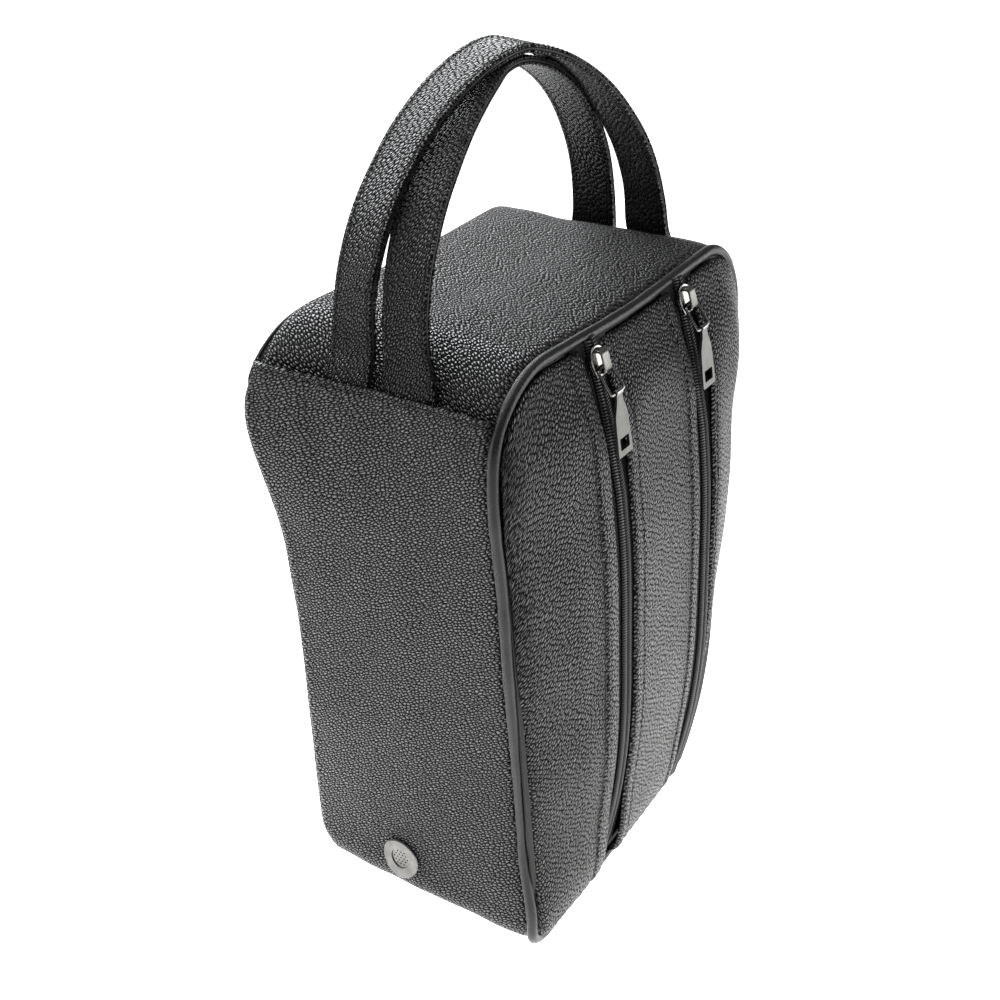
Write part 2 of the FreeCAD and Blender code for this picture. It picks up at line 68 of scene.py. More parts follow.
BODY_X = low_high("side_gusset_right")[1][0]
SEAM_Z = low_high("side_gusset_right")[1][2]
EDGE_Y = low_high("side_gusset_right")[1][1]
TOP_Z = low_high("top_panel")[1][2]
TOP_X = low_high("top_panel")[1][0]
TOP_SKIRT_Z = low_high("top_panel")[0][2]
BASE_X = low_high("base_panel")[1][0]
PANEL_LOW, PANEL_HIGH = (corner[2] for corner in low_high("back_panel"))
PANEL_X = low_high("front_panel_right")[1][0]
PIPE_LOW, PIPE_HIGH = low_high("front_piping_cover")
PIPE_R = (PIPE_HIGH[1] - PIPE_LOW[1]) / 2
PIPE_Y = (PIPE_HIGH[1] + PIPE_LOW[1]) / -2
ZIP_X, BOW_Y, BOW_Z = (value / MM for value in JOINTS["right_zip_travel"]["pos_m"])
BOW_APEX = -low_high("front_panel_center")[0][1]
BOW_R = BOW_Y + BOW_APEX
BACK_APEX = low_high("back_panel")[1][1]
LEATHER_EDGE = ZIP_X - low_high("front_panel_center")[1][0]
TAPE_HALF = low_high("right_zip_tape_outer")[1][0] - ZIP_X
HINGE_Z = JOINTS["upper_handle_rock"]["pos_m"][2] / MM
STRAP_HALF = 14.2
HINGE_Y = low_high("upper_handle_tails")[1][1] - STRAP_HALF
TAIL_X = low_high("upper_handle_tails")[1][0] - 2.1

CORNER_LOW = BODY_X - BASE_X
CORNER_HIGH = 38.0      # radius of the top panel's ends
PIPE_CORNER_HIGH = 40.0
PIPE_CORNER_LOW = 18.5
BOW_FLAT = ZIP_X + 16.5  # the front keeps its full bow out to here
EDGE_DEPTH = 75.2       # where the panels' edges meet the piping, from the middle plane
WRAP = 6.5              # how far a side wall laps over the back piping
RIM_ROW = 1.7           # from a zip's folded edge to the crease beside it
FLANGE = 8.0            # width of the piping's sewn-in flange
BACK_CORD_R = 1.1       # what shows of the back piping
PIPE_STEP = 2.4         # length of one piece of the piping's mesh
PIPE_SIDES = 18
BINDING_DEPTH = 7.0     # how far the flange turns in towards the bag's middle

# ---- meshes -----------------------------------------------------------------
OBJECTS = {}


def build(name, points, faces, material, grain=None, smooth=True):
    """A mesh object from points in millimetres, with its resting place kept for the grain."""
    mesh = bpy.data.meshes.new(name)
    points = np.asarray(points, float).reshape(-1, 3)
    mesh.from_pydata((points * MM).tolist(), [], faces)
    mesh.polygons.foreach_set("use_smooth", [smooth] * len(mesh.polygons))
    grain = points if grain is None else np.asarray(grain, float).reshape(-1, 3)
    attribute = mesh.attributes.new("grain", "FLOAT_VECTOR", "POINT")
    attribute.data.foreach_set("vector", grain.astype(np.float32).ravel())
    mesh.materials.append(material)
    mesh.update()
    piece = bpy.data.objects.new(name, mesh)
    bpy.context.scene.collection.objects.link(piece)
    OBJECTS[name] = piece
    return piece


def grid_faces(rows, cols, wrap=False, flip=False, first=0):
    """Quads of a grid of rows x cols points, joined round its columns if wrap."""
    faces = []
    for i in range(rows - 1):
        for j in range(cols if wrap else cols - 1):
            k = (j + 1) % cols
            quad = (first + i * cols + j, first + (i + 1) * cols + j,
                    first + (i + 1) * cols + k, first + i * cols + k)
            faces.append(quad[::-1] if flip else quad)
    return faces


def thicken(piece, thickness, rim):
    """Gives an open skin its thickness, inwards, and rounds its cut edges."""
    solid = piece.modifiers.new("thickness", "SOLIDIFY")
    solid.thickness = thickness * MM
    solid.offset = -1
    solid.use_quality_normals = True
    if rim:
        bevel = piece.modifiers.new("rim", "BEVEL")
        bevel.width = rim * MM
        bevel.segments = 3
        bevel.limit_method = "ANGLE"
        bevel.angle_limit = math.radians(50)
    return piece


def skin(name, place, along, across, material, thickness=1.8, rim=0.6, flip=False, tall=1.0):
    """A leather skin over the grid of along x across, put in place by place()."""
    a, b = np.meshgrid(along, across, indexing="ij")
    points = place(a, b, np.zeros_like(a))
    grain = np.stack([a, b * tall, np.zeros_like(a)], -1)
    piece = build(name, points, grid_faces(len(along), len(across), flip=flip), material, grain)
    return thicken(piece, thickness, rim)


def tube_faces(rings, sides, count=1):
    """Faces of separate capped tubes, each a stack of rings of points."""
    faces = []
    for tube in range(count):
        first, last = tube * rings * sides, ((tube + 1) * rings - 1) * sides
        faces += grid_faces(rings, sides, wrap=True, first=first)
        faces += [tuple(range(first, first + sides)), tuple(range(last, last + sides))[::-1]]
    return faces


def ring_faces(rings, sides):
    """Quads of a closed ring of closed sections."""
    total = rings * sides
    return [tuple(v % total for v in quad) for quad in grid_faces(rings + 1, sides, wrap=True)]


def unit(vectors):
    return vectors / np.linalg.norm(vectors, axis=-1, keepdims=True)


def travelled(points):
    """How far along a line of points each one lies."""
    return np.concatenate([[0], np.cumsum(np.linalg.norm(np.diff(points, axis=0), axis=1))])


def tidy_normals(piece):
    """Turns a closed mesh's faces outwards."""
    work = bmesh.new()
    work.from_mesh(piece.data)
    bmesh.ops.recalc_face_normals(work, faces=work.faces)
    work.to_mesh(piece.data)
    work.free()
    return piece


def closed(name, points, faces, material, grain=None):
    """A closed mesh object with its faces turned outwards."""
    return tidy_normals(build(name, points, faces, material, grain))


def sweep(name, place, along, section, material):
    """A closed bar: the section's (across, height) loop carried along, capped at both ends."""
    a, b, h = np.broadcast_arrays(np.asarray(along)[:, None], *np.array(section, float).T)
    faces = tube_faces(len(along), len(section))
    return closed(name, place(a, b, h), faces, material, np.stack([a, b, h], -1))


# One stitch: its rings' places along it, their rise from the leather and their thickness.
STITCH = np.array([[0.0, -0.9, 0.35], [0.12, 0.1, 0.85], [0.35, 0.75, 1.0], [0.65, 0.75, 1.0],
                   [0.88, 0.1, 0.85], [1.0, -0.9, 0.35]])
THREAD_SIDES = 6


def stitch_row(place, path, length, gap, radius):
    """Points of one row of thread, stitch by stitch, over a path of (along, across) values."""
    path = np.asarray(path, float)
    run = travelled(place(path[:, 0], path[:, 1], np.zeros(len(path))))
    count = int((run[-1] + gap) // (length + gap))
    margin = (run[-1] - count * (length + gap) + gap) / 2
    spots = margin + np.arange(count)[:, None] * (length + gap) + STITCH[:, 0] * length
    a, b = (np.interp(spots, run, path[:, k]) for k in (0, 1))
    lift = np.broadcast_to(STITCH[:, 1] * radius, spots.shape)
    centre = place(a, b, lift)
    up = unit(place(a, b, lift + 1.0) - centre)
    side = unit(np.cross(np.gradient(centre, axis=1), up))
    angles = np.arange(THREAD_SIDES) * math.tau / THREAD_SIDES
    wide, tall = STITCH[:, 2:] * radius * np.cos(angles), STITCH[:, 2:] * radius * np.sin(angles)
    points = (centre[:, :, None] + side[:, :, None] * wide[..., None]
              + up[:, :, None] * tall[..., None])
    return points.reshape(count, -1, 3)


def stitches(name, place, paths, material, length=3.0, gap=0.9, radius=0.33):
    """Rows of real thread stitches as one piece."""
    points = np.concatenate([stitch_row(place, path, length, gap, radius) for path in paths])
    faces = tube_faces(len(STITCH), THREAD_SIDES, len(points))
    return closed(name, points, faces, material)


def spaced(low, high, step, fine=(), fine_step=0.35, reach=1.6):
    """Grid lines from low to high, closer together near the fine values."""
    marks = set(np.round(np.linspace(low, high, max(2, int(abs(high - low) / step) + 1)), 4))
    for value in fine:
        near = np.arange(value - reach, value + reach + fine_step / 2, fine_step)
        marks |= set(np.round(near[(near > low) & (near < high)], 4))
    marks = np.array(sorted(marks))
    keep = np.concatenate([[True], np.diff(marks) > fine_step * 0.45])
    keep[-1] = True
    return marks[keep]


# ---- materials --------------------------------------------------------------
class Nodes:
    """A material or world under construction, with short ways to add and join nodes."""

    def __init__(self, name, store=bpy.data.materials):
        self.owner = store.new(name)
        self.owner.use_nodes = True
        self.tree = self.owner.node_tree
        kinds = ("BSDF_PRINCIPLED", "BACKGROUND")
        self.shader = next(n for n in self.tree.nodes if n.type in kinds)

    def fill(self, target, value):
        """Joins a node's output to an input, or gives the input a plain value."""
        if isinstance(value, bpy.types.NodeSocket):
            self.tree.links.new(value, target)
        else:
            target.default_value = value

    def add(self, kind, **values):
        node = self.tree.nodes.new(kind)
        for key, value in values.items():
            if key in node.inputs:
                self.fill(node.inputs[key], value)
            else:
                setattr(node, key, value)
        return node

    def set(self, **values):
        """Fills the shader's inputs; _ stands for a space in an input's name."""
        for key, value in values.items():
            self.fill(self.shader.inputs[key.replace("_", " ")], value)

    def math(self, operation, a, b=0.0):
        node = self.add("ShaderNodeMath", operation=operation)
        self.fill(node.inputs[0], a)
        self.fill(node.inputs[1], b)
        return node.outputs[0]

    def plus(self, a, b):
        return self.math("ADD", a, b)

    def times(self, a, b):
        return self.math("MULTIPLY", a, b)

    def ramp(self, source, *stops):
        node = self.add("ShaderNodeValToRGB", Fac=source)
        elements = node.color_ramp.elements
        while len(elements) < len(stops):
            elements.new(0.5)
        for element, (place, colour) in zip(elements, stops):
            element.position = place
            element.color = (*colour, 1)
        return node.outputs[0]

    def spread(self, source, low, high, out_low=0.0, out_high=1.0):
        node = self.add("ShaderNodeMapRange", Value=source)
        limits = {"From Min": low, "From Max": high, "To Min": out_low, "To Max": out_high}
        for key, value in limits.items():
            node.inputs[key].default_value = value
        return node.outputs[0]

    def grain(self, size=(1, 1, 1), turn=0.0):
        """The piece's own resting millimetres, drawn out by size along turned axes."""
        place = self.add("ShaderNodeAttribute", attribute_name="grain").outputs["Vector"]
        mapping = self.add("ShaderNodeMapping", vector_type="TEXTURE", Vector=place, Scale=size,
                           Rotation=(0, 0, turn))
        return mapping.outputs[0]

    def noise(self, place, scale, detail=3.0, roughness=0.55, output="Fac"):
        node = self.add("ShaderNodeTexNoise", Vector=place, Scale=scale, Detail=detail,
                        Roughness=roughness)
        return node.outputs[output]

    def bump(self, height, strength, distance):
        node = self.add("ShaderNodeBump", Height=height, Strength=strength,
                        Distance=distance * MM)
        return node.outputs[0]


def pebble_leather(name, colour, light, cell=1.5, stretch=1.9, turn=-0.55, depth=0.9,
                   roughness=(0.24, 0.5), gloss=0.8):
    """Pebbled leather: small domed grains with creases between them and fine pores; painted shade
    darkens the colour in the creases, a painted highlight lightens the dome tops, and the creases
    reflect less as painted shade.
    """
    m = Nodes(name)
    place = m.grain((1, stretch, 1), turn)
    warp = m.noise(place, 0.12, 2.0, 0.5, "Color")
    shift = m.add("ShaderNodeVectorMath", operation="SCALE", Vector=warp, Scale=2.4)
    bend = m.add("ShaderNodeMixRGB", blend_type="ADD", Fac=1.0, Color1=place,
                 Color2=shift.outputs[0])

    def cells(feature):
        node = m.add("ShaderNodeTexVoronoi", voronoi_dimensions="2D", feature=feature,
                     Vector=bend.outputs[0], Scale=1 / cell, Randomness=0.8)
        return node.outputs["Distance"]

    middle = cells("F1")
    dome = m.spread(m.times(middle, middle), 0.0, 0.36, 1.0, 0.0)
    crease = m.spread(cells("DISTANCE_TO_EDGE"), 0.06, 0.36)
    pores = m.noise(place, 3.2, 4.0, 0.6)
    height = m.plus(m.times(dome, 0.75), m.times(crease, 0.2))
    height = m.plus(height, m.times(pores, 0.08))
    # Painted shade and highlight: the colour ramps from dark in the creases to lighter on the dome
    # tops, mixed with random tone from noise, and the creases get no specular, as painted shade.
    crease_shade_and_tone = m.plus(m.times(height, 0.5), m.times(m.noise(place, 0.018), 0.5))
    m.set(Base_Color=m.ramp(crease_shade_and_tone, (0.2, colour), (0.85, light)),
          Roughness=m.spread(height, 0.1, 0.9, roughness[1], roughness[0]),
          Specular_IOR_Level=m.spread(crease, 0.0, 1.0, 0.0, gloss),
          Normal=m.bump(height, 1.0, depth))
    return m.owner


def fine_leather(name, colour, light, roughness=0.3):
    """Thin fine-grained leather stretched over the piping cord."""
    m = Nodes(name)
    place = m.grain((1, 1.25, 1))
    cells = m.add("ShaderNodeTexVoronoi", feature="DISTANCE_TO_EDGE", Vector=place, Scale=1.15,
                  Randomness=1.0)
    lines = m.noise(place, 2.2, 4.0)
    height = m.plus(m.spread(cells.outputs["Distance"], 0.0, 0.2), m.times(lines, 0.4))
    m.set(Base_Color=m.ramp(lines, (0.3, colour), (0.75, light)),
          Roughness=m.spread(lines, 0.3, 0.7, roughness - 0.06, roughness + 0.1),
          Normal=m.bump(height, 0.6, 0.09), Specular_IOR_Level=0.32)
    return m.owner


def woven(name, colour, light, pitch, roughness=0.85, depth=0.12):
    """Plain woven cloth or tape: two crossed sets of ribs with a little slub."""
    m = Nodes(name)
    place = m.grain()
    split = m.add("ShaderNodeSeparateXYZ", Vector=place)
    warp, weft = (m.math("SINE", m.times(split.outputs[k], math.tau / pitch)) for k in (0, 1))
    height = m.plus(m.spread(m.times(warp, weft), -1, 1), m.times(m.noise(place, 0.8), 0.5))
    m.set(Base_Color=m.ramp(height, (0.2, colour), (1.0, light)),
          Normal=m.bump(height, 0.8, depth), Roughness=roughness, Sheen_Weight=0.04,
          Specular_IOR_Level=0.2)
    return m.owner


def thread(name, colour, light):
    """Twisted polyester thread."""
    m = Nodes(name)
    place = m.grain(turn=0.5)
    wave = m.add("ShaderNodeTexWave", Vector=place, Scale=1.1, Distortion=0.6).outputs["Fac"]
    m.set(Base_Color=m.ramp(wave, (0.2, colour), (0.9, light)), Normal=m.bump(wave, 0.5, 0.06),
          Roughness=0.55)
    return m.owner


def metal(name, colour, light, roughness):
    """Plated die-cast metal with faint handling marks."""
    m = Nodes(name)
    place = m.add("ShaderNodeTexCoord").outputs["Object"]
    marks = m.noise(place, 900.0, 4.0, 0.7)
    haze = m.noise(place, 160.0, 2.0, 0.5)
    m.set(Base_Color=m.ramp(haze, (0.25, colour), (0.8, light)),
          Roughness=m.spread(marks, 0.3, 0.75, roughness, roughness + 0.12),
          Normal=m.bump(marks, 0.3, 0.01), Metallic=1.0)
    return m.owner


def nylon(name, colour):
    """Moulded black nylon of the zip's coil."""
    m = Nodes(name)
    speck = m.noise(m.grain(), 1.6)
    m.set(Base_Color=m.ramp(speck, (0.3, colour), (0.8, [c * 2.2 for c in colour])),
          Roughness=m.spread(speck, 0.3, 0.7, 0.28, 0.45), Specular_IOR_Level=0.35)
    return m.owner


def grey(value, warmth=1.0):
    return (value * warmth, value, value)


# In each pebbled leather the darker colour is painted shade in the creases and the lighter one a
# painted highlight on the dome tops.
BAG_LEATHER = pebble_leather("bag_leather", grey(0.003), grey(0.016, 1.03))
STRAP_LEATHER = pebble_leather("strap_leather", grey(0.002), grey(0.010, 1.05), cell=1.45,
                               roughness=(0.25, 0.5), turn=-0.9, depth=0.8, gloss=0.75)
PIPING_LEATHER = fine_leather("piping_leather", grey(0.002), grey(0.008))
EDGE_PAINT = fine_leather("edge_paint", grey(0.003), grey(0.008), roughness=0.42)
THREAD = thread("black_thread", grey(0.002), grey(0.008))
TAPE_THREAD = thread("zip_tape_thread", grey(0.012), grey(0.04))
TAPE = woven("zip_tape_weave", grey(0.001), grey(0.005), 0.9)
LINING = woven("lining_weave", grey(0.02), grey(0.05), 0.6)
BINDING = woven("binding_weave", grey(0.01), grey(0.03), 0.8)
FIBRE = woven("fibre_board", grey(0.03), grey(0.07), 2.0, depth=0.2)
COIL = nylon("coil_nylon", grey(0.002))
GUNMETAL = metal("gunmetal", (0.17, 0.165, 0.16), (0.26, 0.25, 0.245), 0.12)
SATIN = metal("satin_gunmetal", (0.10, 0.098, 0.094), (0.14, 0.137, 0.13), 0.3)
VENT_METAL = metal("vent_metal", (0.10, 0.097, 0.092), (0.17, 0.165, 0.158), 0.36)
SPRING = metal("spring_steel", (0.5, 0.5, 0.5), (0.7, 0.7, 0.7), 0.25)

# ---- the bag's soft shape ----------------------------------------------------
# Each row is a soft push of the leather: its middle, how far it reaches and which way
# it moves, all in millimetres. They hold the slack, the waist and the puffed corners.
PUSHES = [
    ((-122, -74, 290), (40, 42, 50), (-8.5, 0.0, 0.0)),
    ((-122, -74, 200), (40, 42, 52), (-3.6, 0.0, 0.0)),
    ((-122, -74, 85), (40, 42, 36), (1.6, 0.0, 0.0)),
    ((-122, -74, 22), (44, 46, 30), (-4.0, -7.0, 0.0)),
    ((-60, -78, 10), (70, 40, 34), (0.0, -3.0, 0.0)),
    ((-122, 74, 300), (60, 46, 52), (-6.0, 12.5, 0.0)),
    ((-122, 66, 168), (50, 40, 62), (1.0, -0.5, 0.0)),
    ((-122, 0, 2), (36, 96, 15), (-6.5, 0.0, 0.0)),
    ((-122, 74, 45), (40, 36, 45), (2.0, 2.5, 0.0)),
    ((-122, 10, 240), (30, 50, 60), (-2.0, 0.0, 0.0)),
    ((122, -74, 262), (40, 42, 58), (-1.5, 0.0, 0.0)),
    ((118, -74, 325), (30, 42, 30), (-2.5, 0.0, 0.0)),
    ((118, -74, 8), (52, 46, 84), (-13.0, 18.0, 0.0)),
    ((112, -86, 120), (44, 60, 66), (-5.0, 6.0, 0.0)),
    ((90, -82, 300), (34, 40, 44), (0.0, -5.0, 0.0)),
    ((122, 74, 300), (60, 46, 52), (3.0, 5.0, 0.0)),
    ((122, 66, 168), (50, 40, 62), (-5.0, -2.5, 0.0)),
    ((118, 10, 336), (26, 60, 30), (-3.0, 0.0, -6.0)),
    ((-100, 0, 345), (26, 46, 26), (0.0, 0.0, -2.5)),
    ((0, 0, 352), (62, 48, 30), (0.0, 0.0, -3.5)),
    ((5, -74, 350), (85, 30, 32), (0.0, 0.0, -6.0)),
    ((0, 86, 90), (70, 60, 60), (0.0, -3.0, 0.0)),
]


def soften(points):
    """Moves points of the plain shape to the bag's slack, puffed one."""
    points = np.asarray(points, float)
    moved = points.copy()
    for middle, reach, push in PUSHES:
        away = (points - np.array(middle)) / np.array(reach)
        weight = np.exp(-(away ** 2).sum(-1))
        moved += weight[..., None] * np.array(push)
    return moved


def ripple(a, b, pitch, seed):
    """Uneven waves along a, shifting with b, between -1 and 1."""
    first = np.sin(math.tau * a / pitch + seed + 0.9 * np.sin(b / (pitch * 2.3) + seed))
    second = np.sin(math.tau * a / (pitch * 0.61) + 2.3 * seed + b / (pitch * 1.7))
    return 0.65 * first + 0.35 * second


def groove(distance, depth=0.45, width=0.8):
    """The dip that a row of stitches pulls into leather."""
    return -depth * np.exp(-(distance / width) ** 2)


def edge_tuck(distance, depth=2.0, width=2.2):
    """How a panel turns down into a seam at its edge."""
    return -depth * np.exp(-(np.maximum(distance, 0) / width) ** 1.5)


def stand_for(piece, slot, nodes):
    if nodes:
        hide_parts(*nodes)
    return piece


def ride(piece, body, slot, *nodes):
    """Fixes a finished piece to a body and hides the CAD parts that it stands for."""
    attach(piece, body)
    return stand_for(piece, slot, nodes)


# side walls and top ------------------------------------------------------------
SIDE_RUN = BASE_X + CORNER_LOW * math.pi / 2 + (SEAM_Z - CORNER_LOW)
HEM_ROW = 3.0
ROOTS = (-HINGE_Y, HINGE_Y)


def side_point(run, y, height):
    """Point of the right side wall: run goes out along the base, round and up."""
    bend = np.clip(run - BASE_X, 0, CORNER_LOW * math.pi / 2) / CORNER_LOW
    rise = np.maximum(run - BASE_X - CORNER_LOW * math.pi / 2, 0)
    flat = np.minimum(run, BASE_X)
    radius = CORNER_LOW + height
    x = flat + radius * np.sin(bend)
    z = CORNER_LOW - radius * np.cos(bend) + rise
    return np.stack([x, y, z], -1)


def side_relief(run, y):
    """Puckers, seams and dents of a side wall, outwards."""
    below = SIDE_RUN - run
    wrapped = (y > 0) * hidden_share(run - BASE_X - CORNER_LOW * math.pi / 2 + CORNER_LOW)
    height = edge_tuck(EDGE_Y - np.abs(y)) * (1 - wrapped)
    height = height + groove(below - HEM_ROW)
    gather = np.exp(-below / 26) * (1 - np.exp(-below / 5))
    height = height + 0.9 * gather * ripple(y, below, 15.0, 1.3)
    for root in ROOTS:
        pull = np.exp(-((y - root) / 12) ** 2 - (below / 34) ** 2)
        height = height + 1.6 * pull * (1 - np.exp(-below / 4))
    return height + 0.35 * ripple(run, y, 74.0, 0.4) + 0.3 * ripple(y, run, 47.0, 2.1)


def side_place(sign):
    def place(run, y, height):
        over = np.clip(y - EDGE_Y, 0, None)
        inside = np.minimum(y, EDGE_Y)
        points = side_point(run, inside, height + side_relief(run, inside) * (1 - over / WRAP))
        wrap = hidden_share(points[..., 2]) * (run > BASE_X + CORNER_LOW)
        points[..., 0] -= over * (1 - wrap) + wrap * 3.6 * (over / WRAP) ** 2
        points[..., 1] += over * wrap + 1.6 * wrap * np.sin(np.clip(over / WRAP, 0, 1) * math.pi)
        points[..., 0] *= sign
        return soften(points)
    return place


TOP_FLAT = TOP_X - CORNER_HIGH
TOP_RUN = TOP_FLAT + CORNER_HIGH * math.pi / 2


def top_point(run, y, height):
    """Point of the top panel: run is 0 at the middle and grows to the right."""
    size = np.abs(run)
    bend = np.clip(size - TOP_FLAT, 0, CORNER_HIGH * math.pi / 2) / CORNER_HIGH
    drop = np.maximum(size - TOP_RUN, 0)
    radius = CORNER_HIGH + height
    x = np.minimum(size, TOP_FLAT) + radius * np.sin(bend)
    z = TOP_Z - CORNER_HIGH + radius * np.cos(bend) - drop
    return np.stack([x * np.sign(run), y, z], -1)


def top_relief(run, y):
    height = edge_tuck(EDGE_Y - np.abs(y))
    height = height + 0.5 * ripple(run, y, 88.0, 0.7) + 0.4 * ripple(y, run, 52.0, 1.9)
    for side in (-1, 1):
        for root in ROOTS:
            near = np.exp(-((run - side * TOP_RUN) / 26) ** 2 - ((y - root) / 16) ** 2)
            height = height - 1.4 * near
        middle = np.exp(-((run - side * TOP_RUN) / 40) ** 2 - (y / 9) ** 2)
        height = height + 1.2 * middle
    return height


def top_place(run, y, height):
    return soften(top_point(run, y, height + top_relief(run, y)))


def make_sides():
    across = spaced(-EDGE_Y, EDGE_Y + WRAP, 2.6, fine=(-EDGE_Y + 1.5, EDGE_Y), fine_step=0.6)
    along = spaced(BASE_X + 0.1, SIDE_RUN, 3.0, fine=(SIDE_RUN - HEM_ROW, SIDE_RUN - 0.5))
    hem = SIDE_RUN - HEM_ROW
    for name, sign in (("left", -1), ("right", 1)):
        place = side_place(sign)
        wall = skin(f"{name}_side_wall", place, along, across, BAG_LEATHER, thickness=2.4,
                    rim=0.8, flip=sign > 0, tall=sign)
        ride(wall, "bag", "bag_leather", f"side_gusset_{name}")
        path = [(hem, y) for y in np.arange(-EDGE_Y + 2, EDGE_Y - 1.9, 1.0)]
        row = stitches(f"{name}_side_hem_thread", place, [path], THREAD, length=3.2, gap=1.0)
        ride(row, "bag", "bag_leather")


def make_top():
    reach = TOP_RUN + (TOP_Z - CORNER_HIGH - TOP_SKIRT_Z)
    along = spaced(-reach, reach, 3.0)
    across = spaced(-EDGE_Y, EDGE_Y, 2.6, fine=(-EDGE_Y + 1.5, EDGE_Y - 1.5), fine_step=0.6)
    piece = skin("top_cover", top_place, along, across, BAG_LEATHER, thickness=1.8, flip=True)
    ride(piece, "bag", "bag_leather", "top_panel")


def base_place(x, y, height):
    relief = 1.2 * (1 - np.exp(-np.maximum(EDGE_Y - np.abs(y), 0) / 6))
    return soften(np.stack([x, y, 0.05 + 1.3 - relief - height], -1))


def make_base():
    across = spaced(-EDGE_Y, EDGE_Y, 5.0)
    along = spaced(-BASE_X, BASE_X, 5.0)
    piece = skin("base_cover", base_place, along, across, BAG_LEATHER, thickness=1.6, flip=True)
    ride(piece, "bag", "bag_leather", "base_panel")


# front and back panels -----------------------------------------------------------
def outline_span(x, half, low, high, r_low, r_high):
    """Lowest and highest z of a rounded outline at x."""
    reach_low = np.clip(np.abs(x) - (half - r_low), 0, r_low)
    reach_high = np.clip(np.abs(x) - (half - r_high), 0, r_high)
    bottom = low + r_low - np.sqrt(r_low ** 2 - reach_low ** 2)
    top = high - r_high + np.sqrt(r_high ** 2 - reach_high ** 2)
    return bottom, top


PANEL_INSET = PIPE_HIGH[0] - PIPE_R - PANEL_X
PANEL_R_LOW = PIPE_CORNER_LOW - PANEL_INSET
PANEL_R_HIGH = PIPE_CORNER_HIGH - PANEL_INSET


def panel_span(x):
    return outline_span(x, PANEL_X, PANEL_LOW, PANEL_HIGH, PANEL_R_LOW, PANEL_R_HIGH)


def panel_edge_distance(x, z):
    """Roughly how far a point of the panel is from its seam."""
    bottom, top = panel_span(x)
    slope = np.minimum(PANEL_X - np.abs(x), np.minimum(z - bottom, top - z))
    return np.maximum(slope, 0)


def panel_z(x, share):
    bottom, top = panel_span(x)
    return bottom + (top - bottom) * share


def chain_relief(z):
    """How the filled bag's front leaves its plain arc beside the zips, outwards."""
    return (2.6 * np.exp(-((z - 292) / 24) ** 2) - 3.2 * np.exp(-((z - 170) / 62) ** 2)
            + 2.0 * np.exp(-((z - 22) / 28) ** 2))


def shoulder_relief(z):
    """The rounded shoulder below the top seam, away from the zips."""
    return 3.6 * np.exp(-((z - 311) / 15) ** 2)


def bow_share(x):
    """How much of the full bow is left at x: all beside the zips, little at the piping."""
    t = np.clip((np.abs(x) - BOW_FLAT) / (PANEL_X - BOW_FLAT), 0, 1)
    return 1 - 0.45 * t - 0.49 * t ** 2.2


def edge_row(x):
    """How far the sewn row lies from the folded edge of the zip that x is beside."""
    left, outside = np.asarray(x) < 0, np.abs(x) > ZIP_X
    return np.where(left, np.where(outside, 12.2, 8.8), np.where(outside, 3.6, 9.6))


def zip_edge_relief(x):
    """Folded leather beside a zip: a rounded edge, a padded band and a sewn groove."""
    gap = np.abs(np.abs(x) - ZIP_X) - LEATHER_EDGE
    row = edge_row(x)
    turn = -2.0 * np.exp(-(np.maximum(gap, 0) / 0.8) ** 1.6)
    band = 0.55 / (1 + np.exp((gap - row) / 0.7))
    return turn + band + groove(gap - row, 1.0, 0.95) + groove(gap - RIM_ROW, 0.25, 0.5)


def front_relief(x, z):
    away = panel_edge_distance(x, z)
    height = edge_tuck(away, 1.7, 1.8)
    along = np.where(PANEL_X - np.abs(x) < away + 0.01, z, x)
    height = height + 0.4 * np.exp(-(away - 4) ** 2 / 18) * ripple(along, away, 8.0, 0.5)
    outer = np.clip((np.abs(x) - BOW_FLAT) / 20, 0, 1)
    height = height + outer * (0.8 * ripple(z, x, 96.0, 1.1) + 0.4 * ripple(x, z, 41.0, 0.2))
    gap = np.maximum(np.abs(np.abs(x) - ZIP_X) - LEATHER_EDGE, 0)
    height = height + chain_relief(z) * bow_share(x)
    height = height + shoulder_relief(z) * (1 - np.exp(-(gap / 12) ** 2)) * bow_share(x)
    return height + zip_edge_relief(x)


def front_place(x, share, height):
    z = panel_z(x, share)
    height = height + front_relief(x, z)
    depth = np.sqrt(BOW_R ** 2 - (z - BOW_Z) ** 2) - BOW_Y
    y = -(EDGE_DEPTH + bow_share(x) * (depth - EDGE_DEPTH))
    tilt = (z - BOW_Z) / BOW_R * bow_share(x)
    points = np.stack([x, y - height * np.sqrt(1 - tilt ** 2), z + height * tilt], -1)
    return soften(points)


def zip_edges():
    """Each folded edge beside a zip: where it lies, which way its leather goes, its sewn row."""
    for side in (-1, 1):
        for turn in (-1, 1):
            edge = side * ZIP_X + turn * LEATHER_EDGE
            yield edge, turn, edge + turn * float(edge_row(edge))


def front_columns(low, high):
    """Grid columns of a front panel, fine at its sewn rows and rounded edges."""
    fine = [2 - PANEL_X, PANEL_X - 2]
    for edge, turn, row in zip_edges():
        fine += [row, edge + turn * RIM_ROW, edge + turn * 0.6]
    return spaced(low, high, 2.6, fine=fine, fine_step=0.3, reach=1.8)


def panel_shares(count):
    """Grid rows of a panel from its lower to its upper edge, closer together at both."""
    share = np.linspace(0, 1, count)
    return share - 0.12 / math.tau * np.sin(math.tau * share)


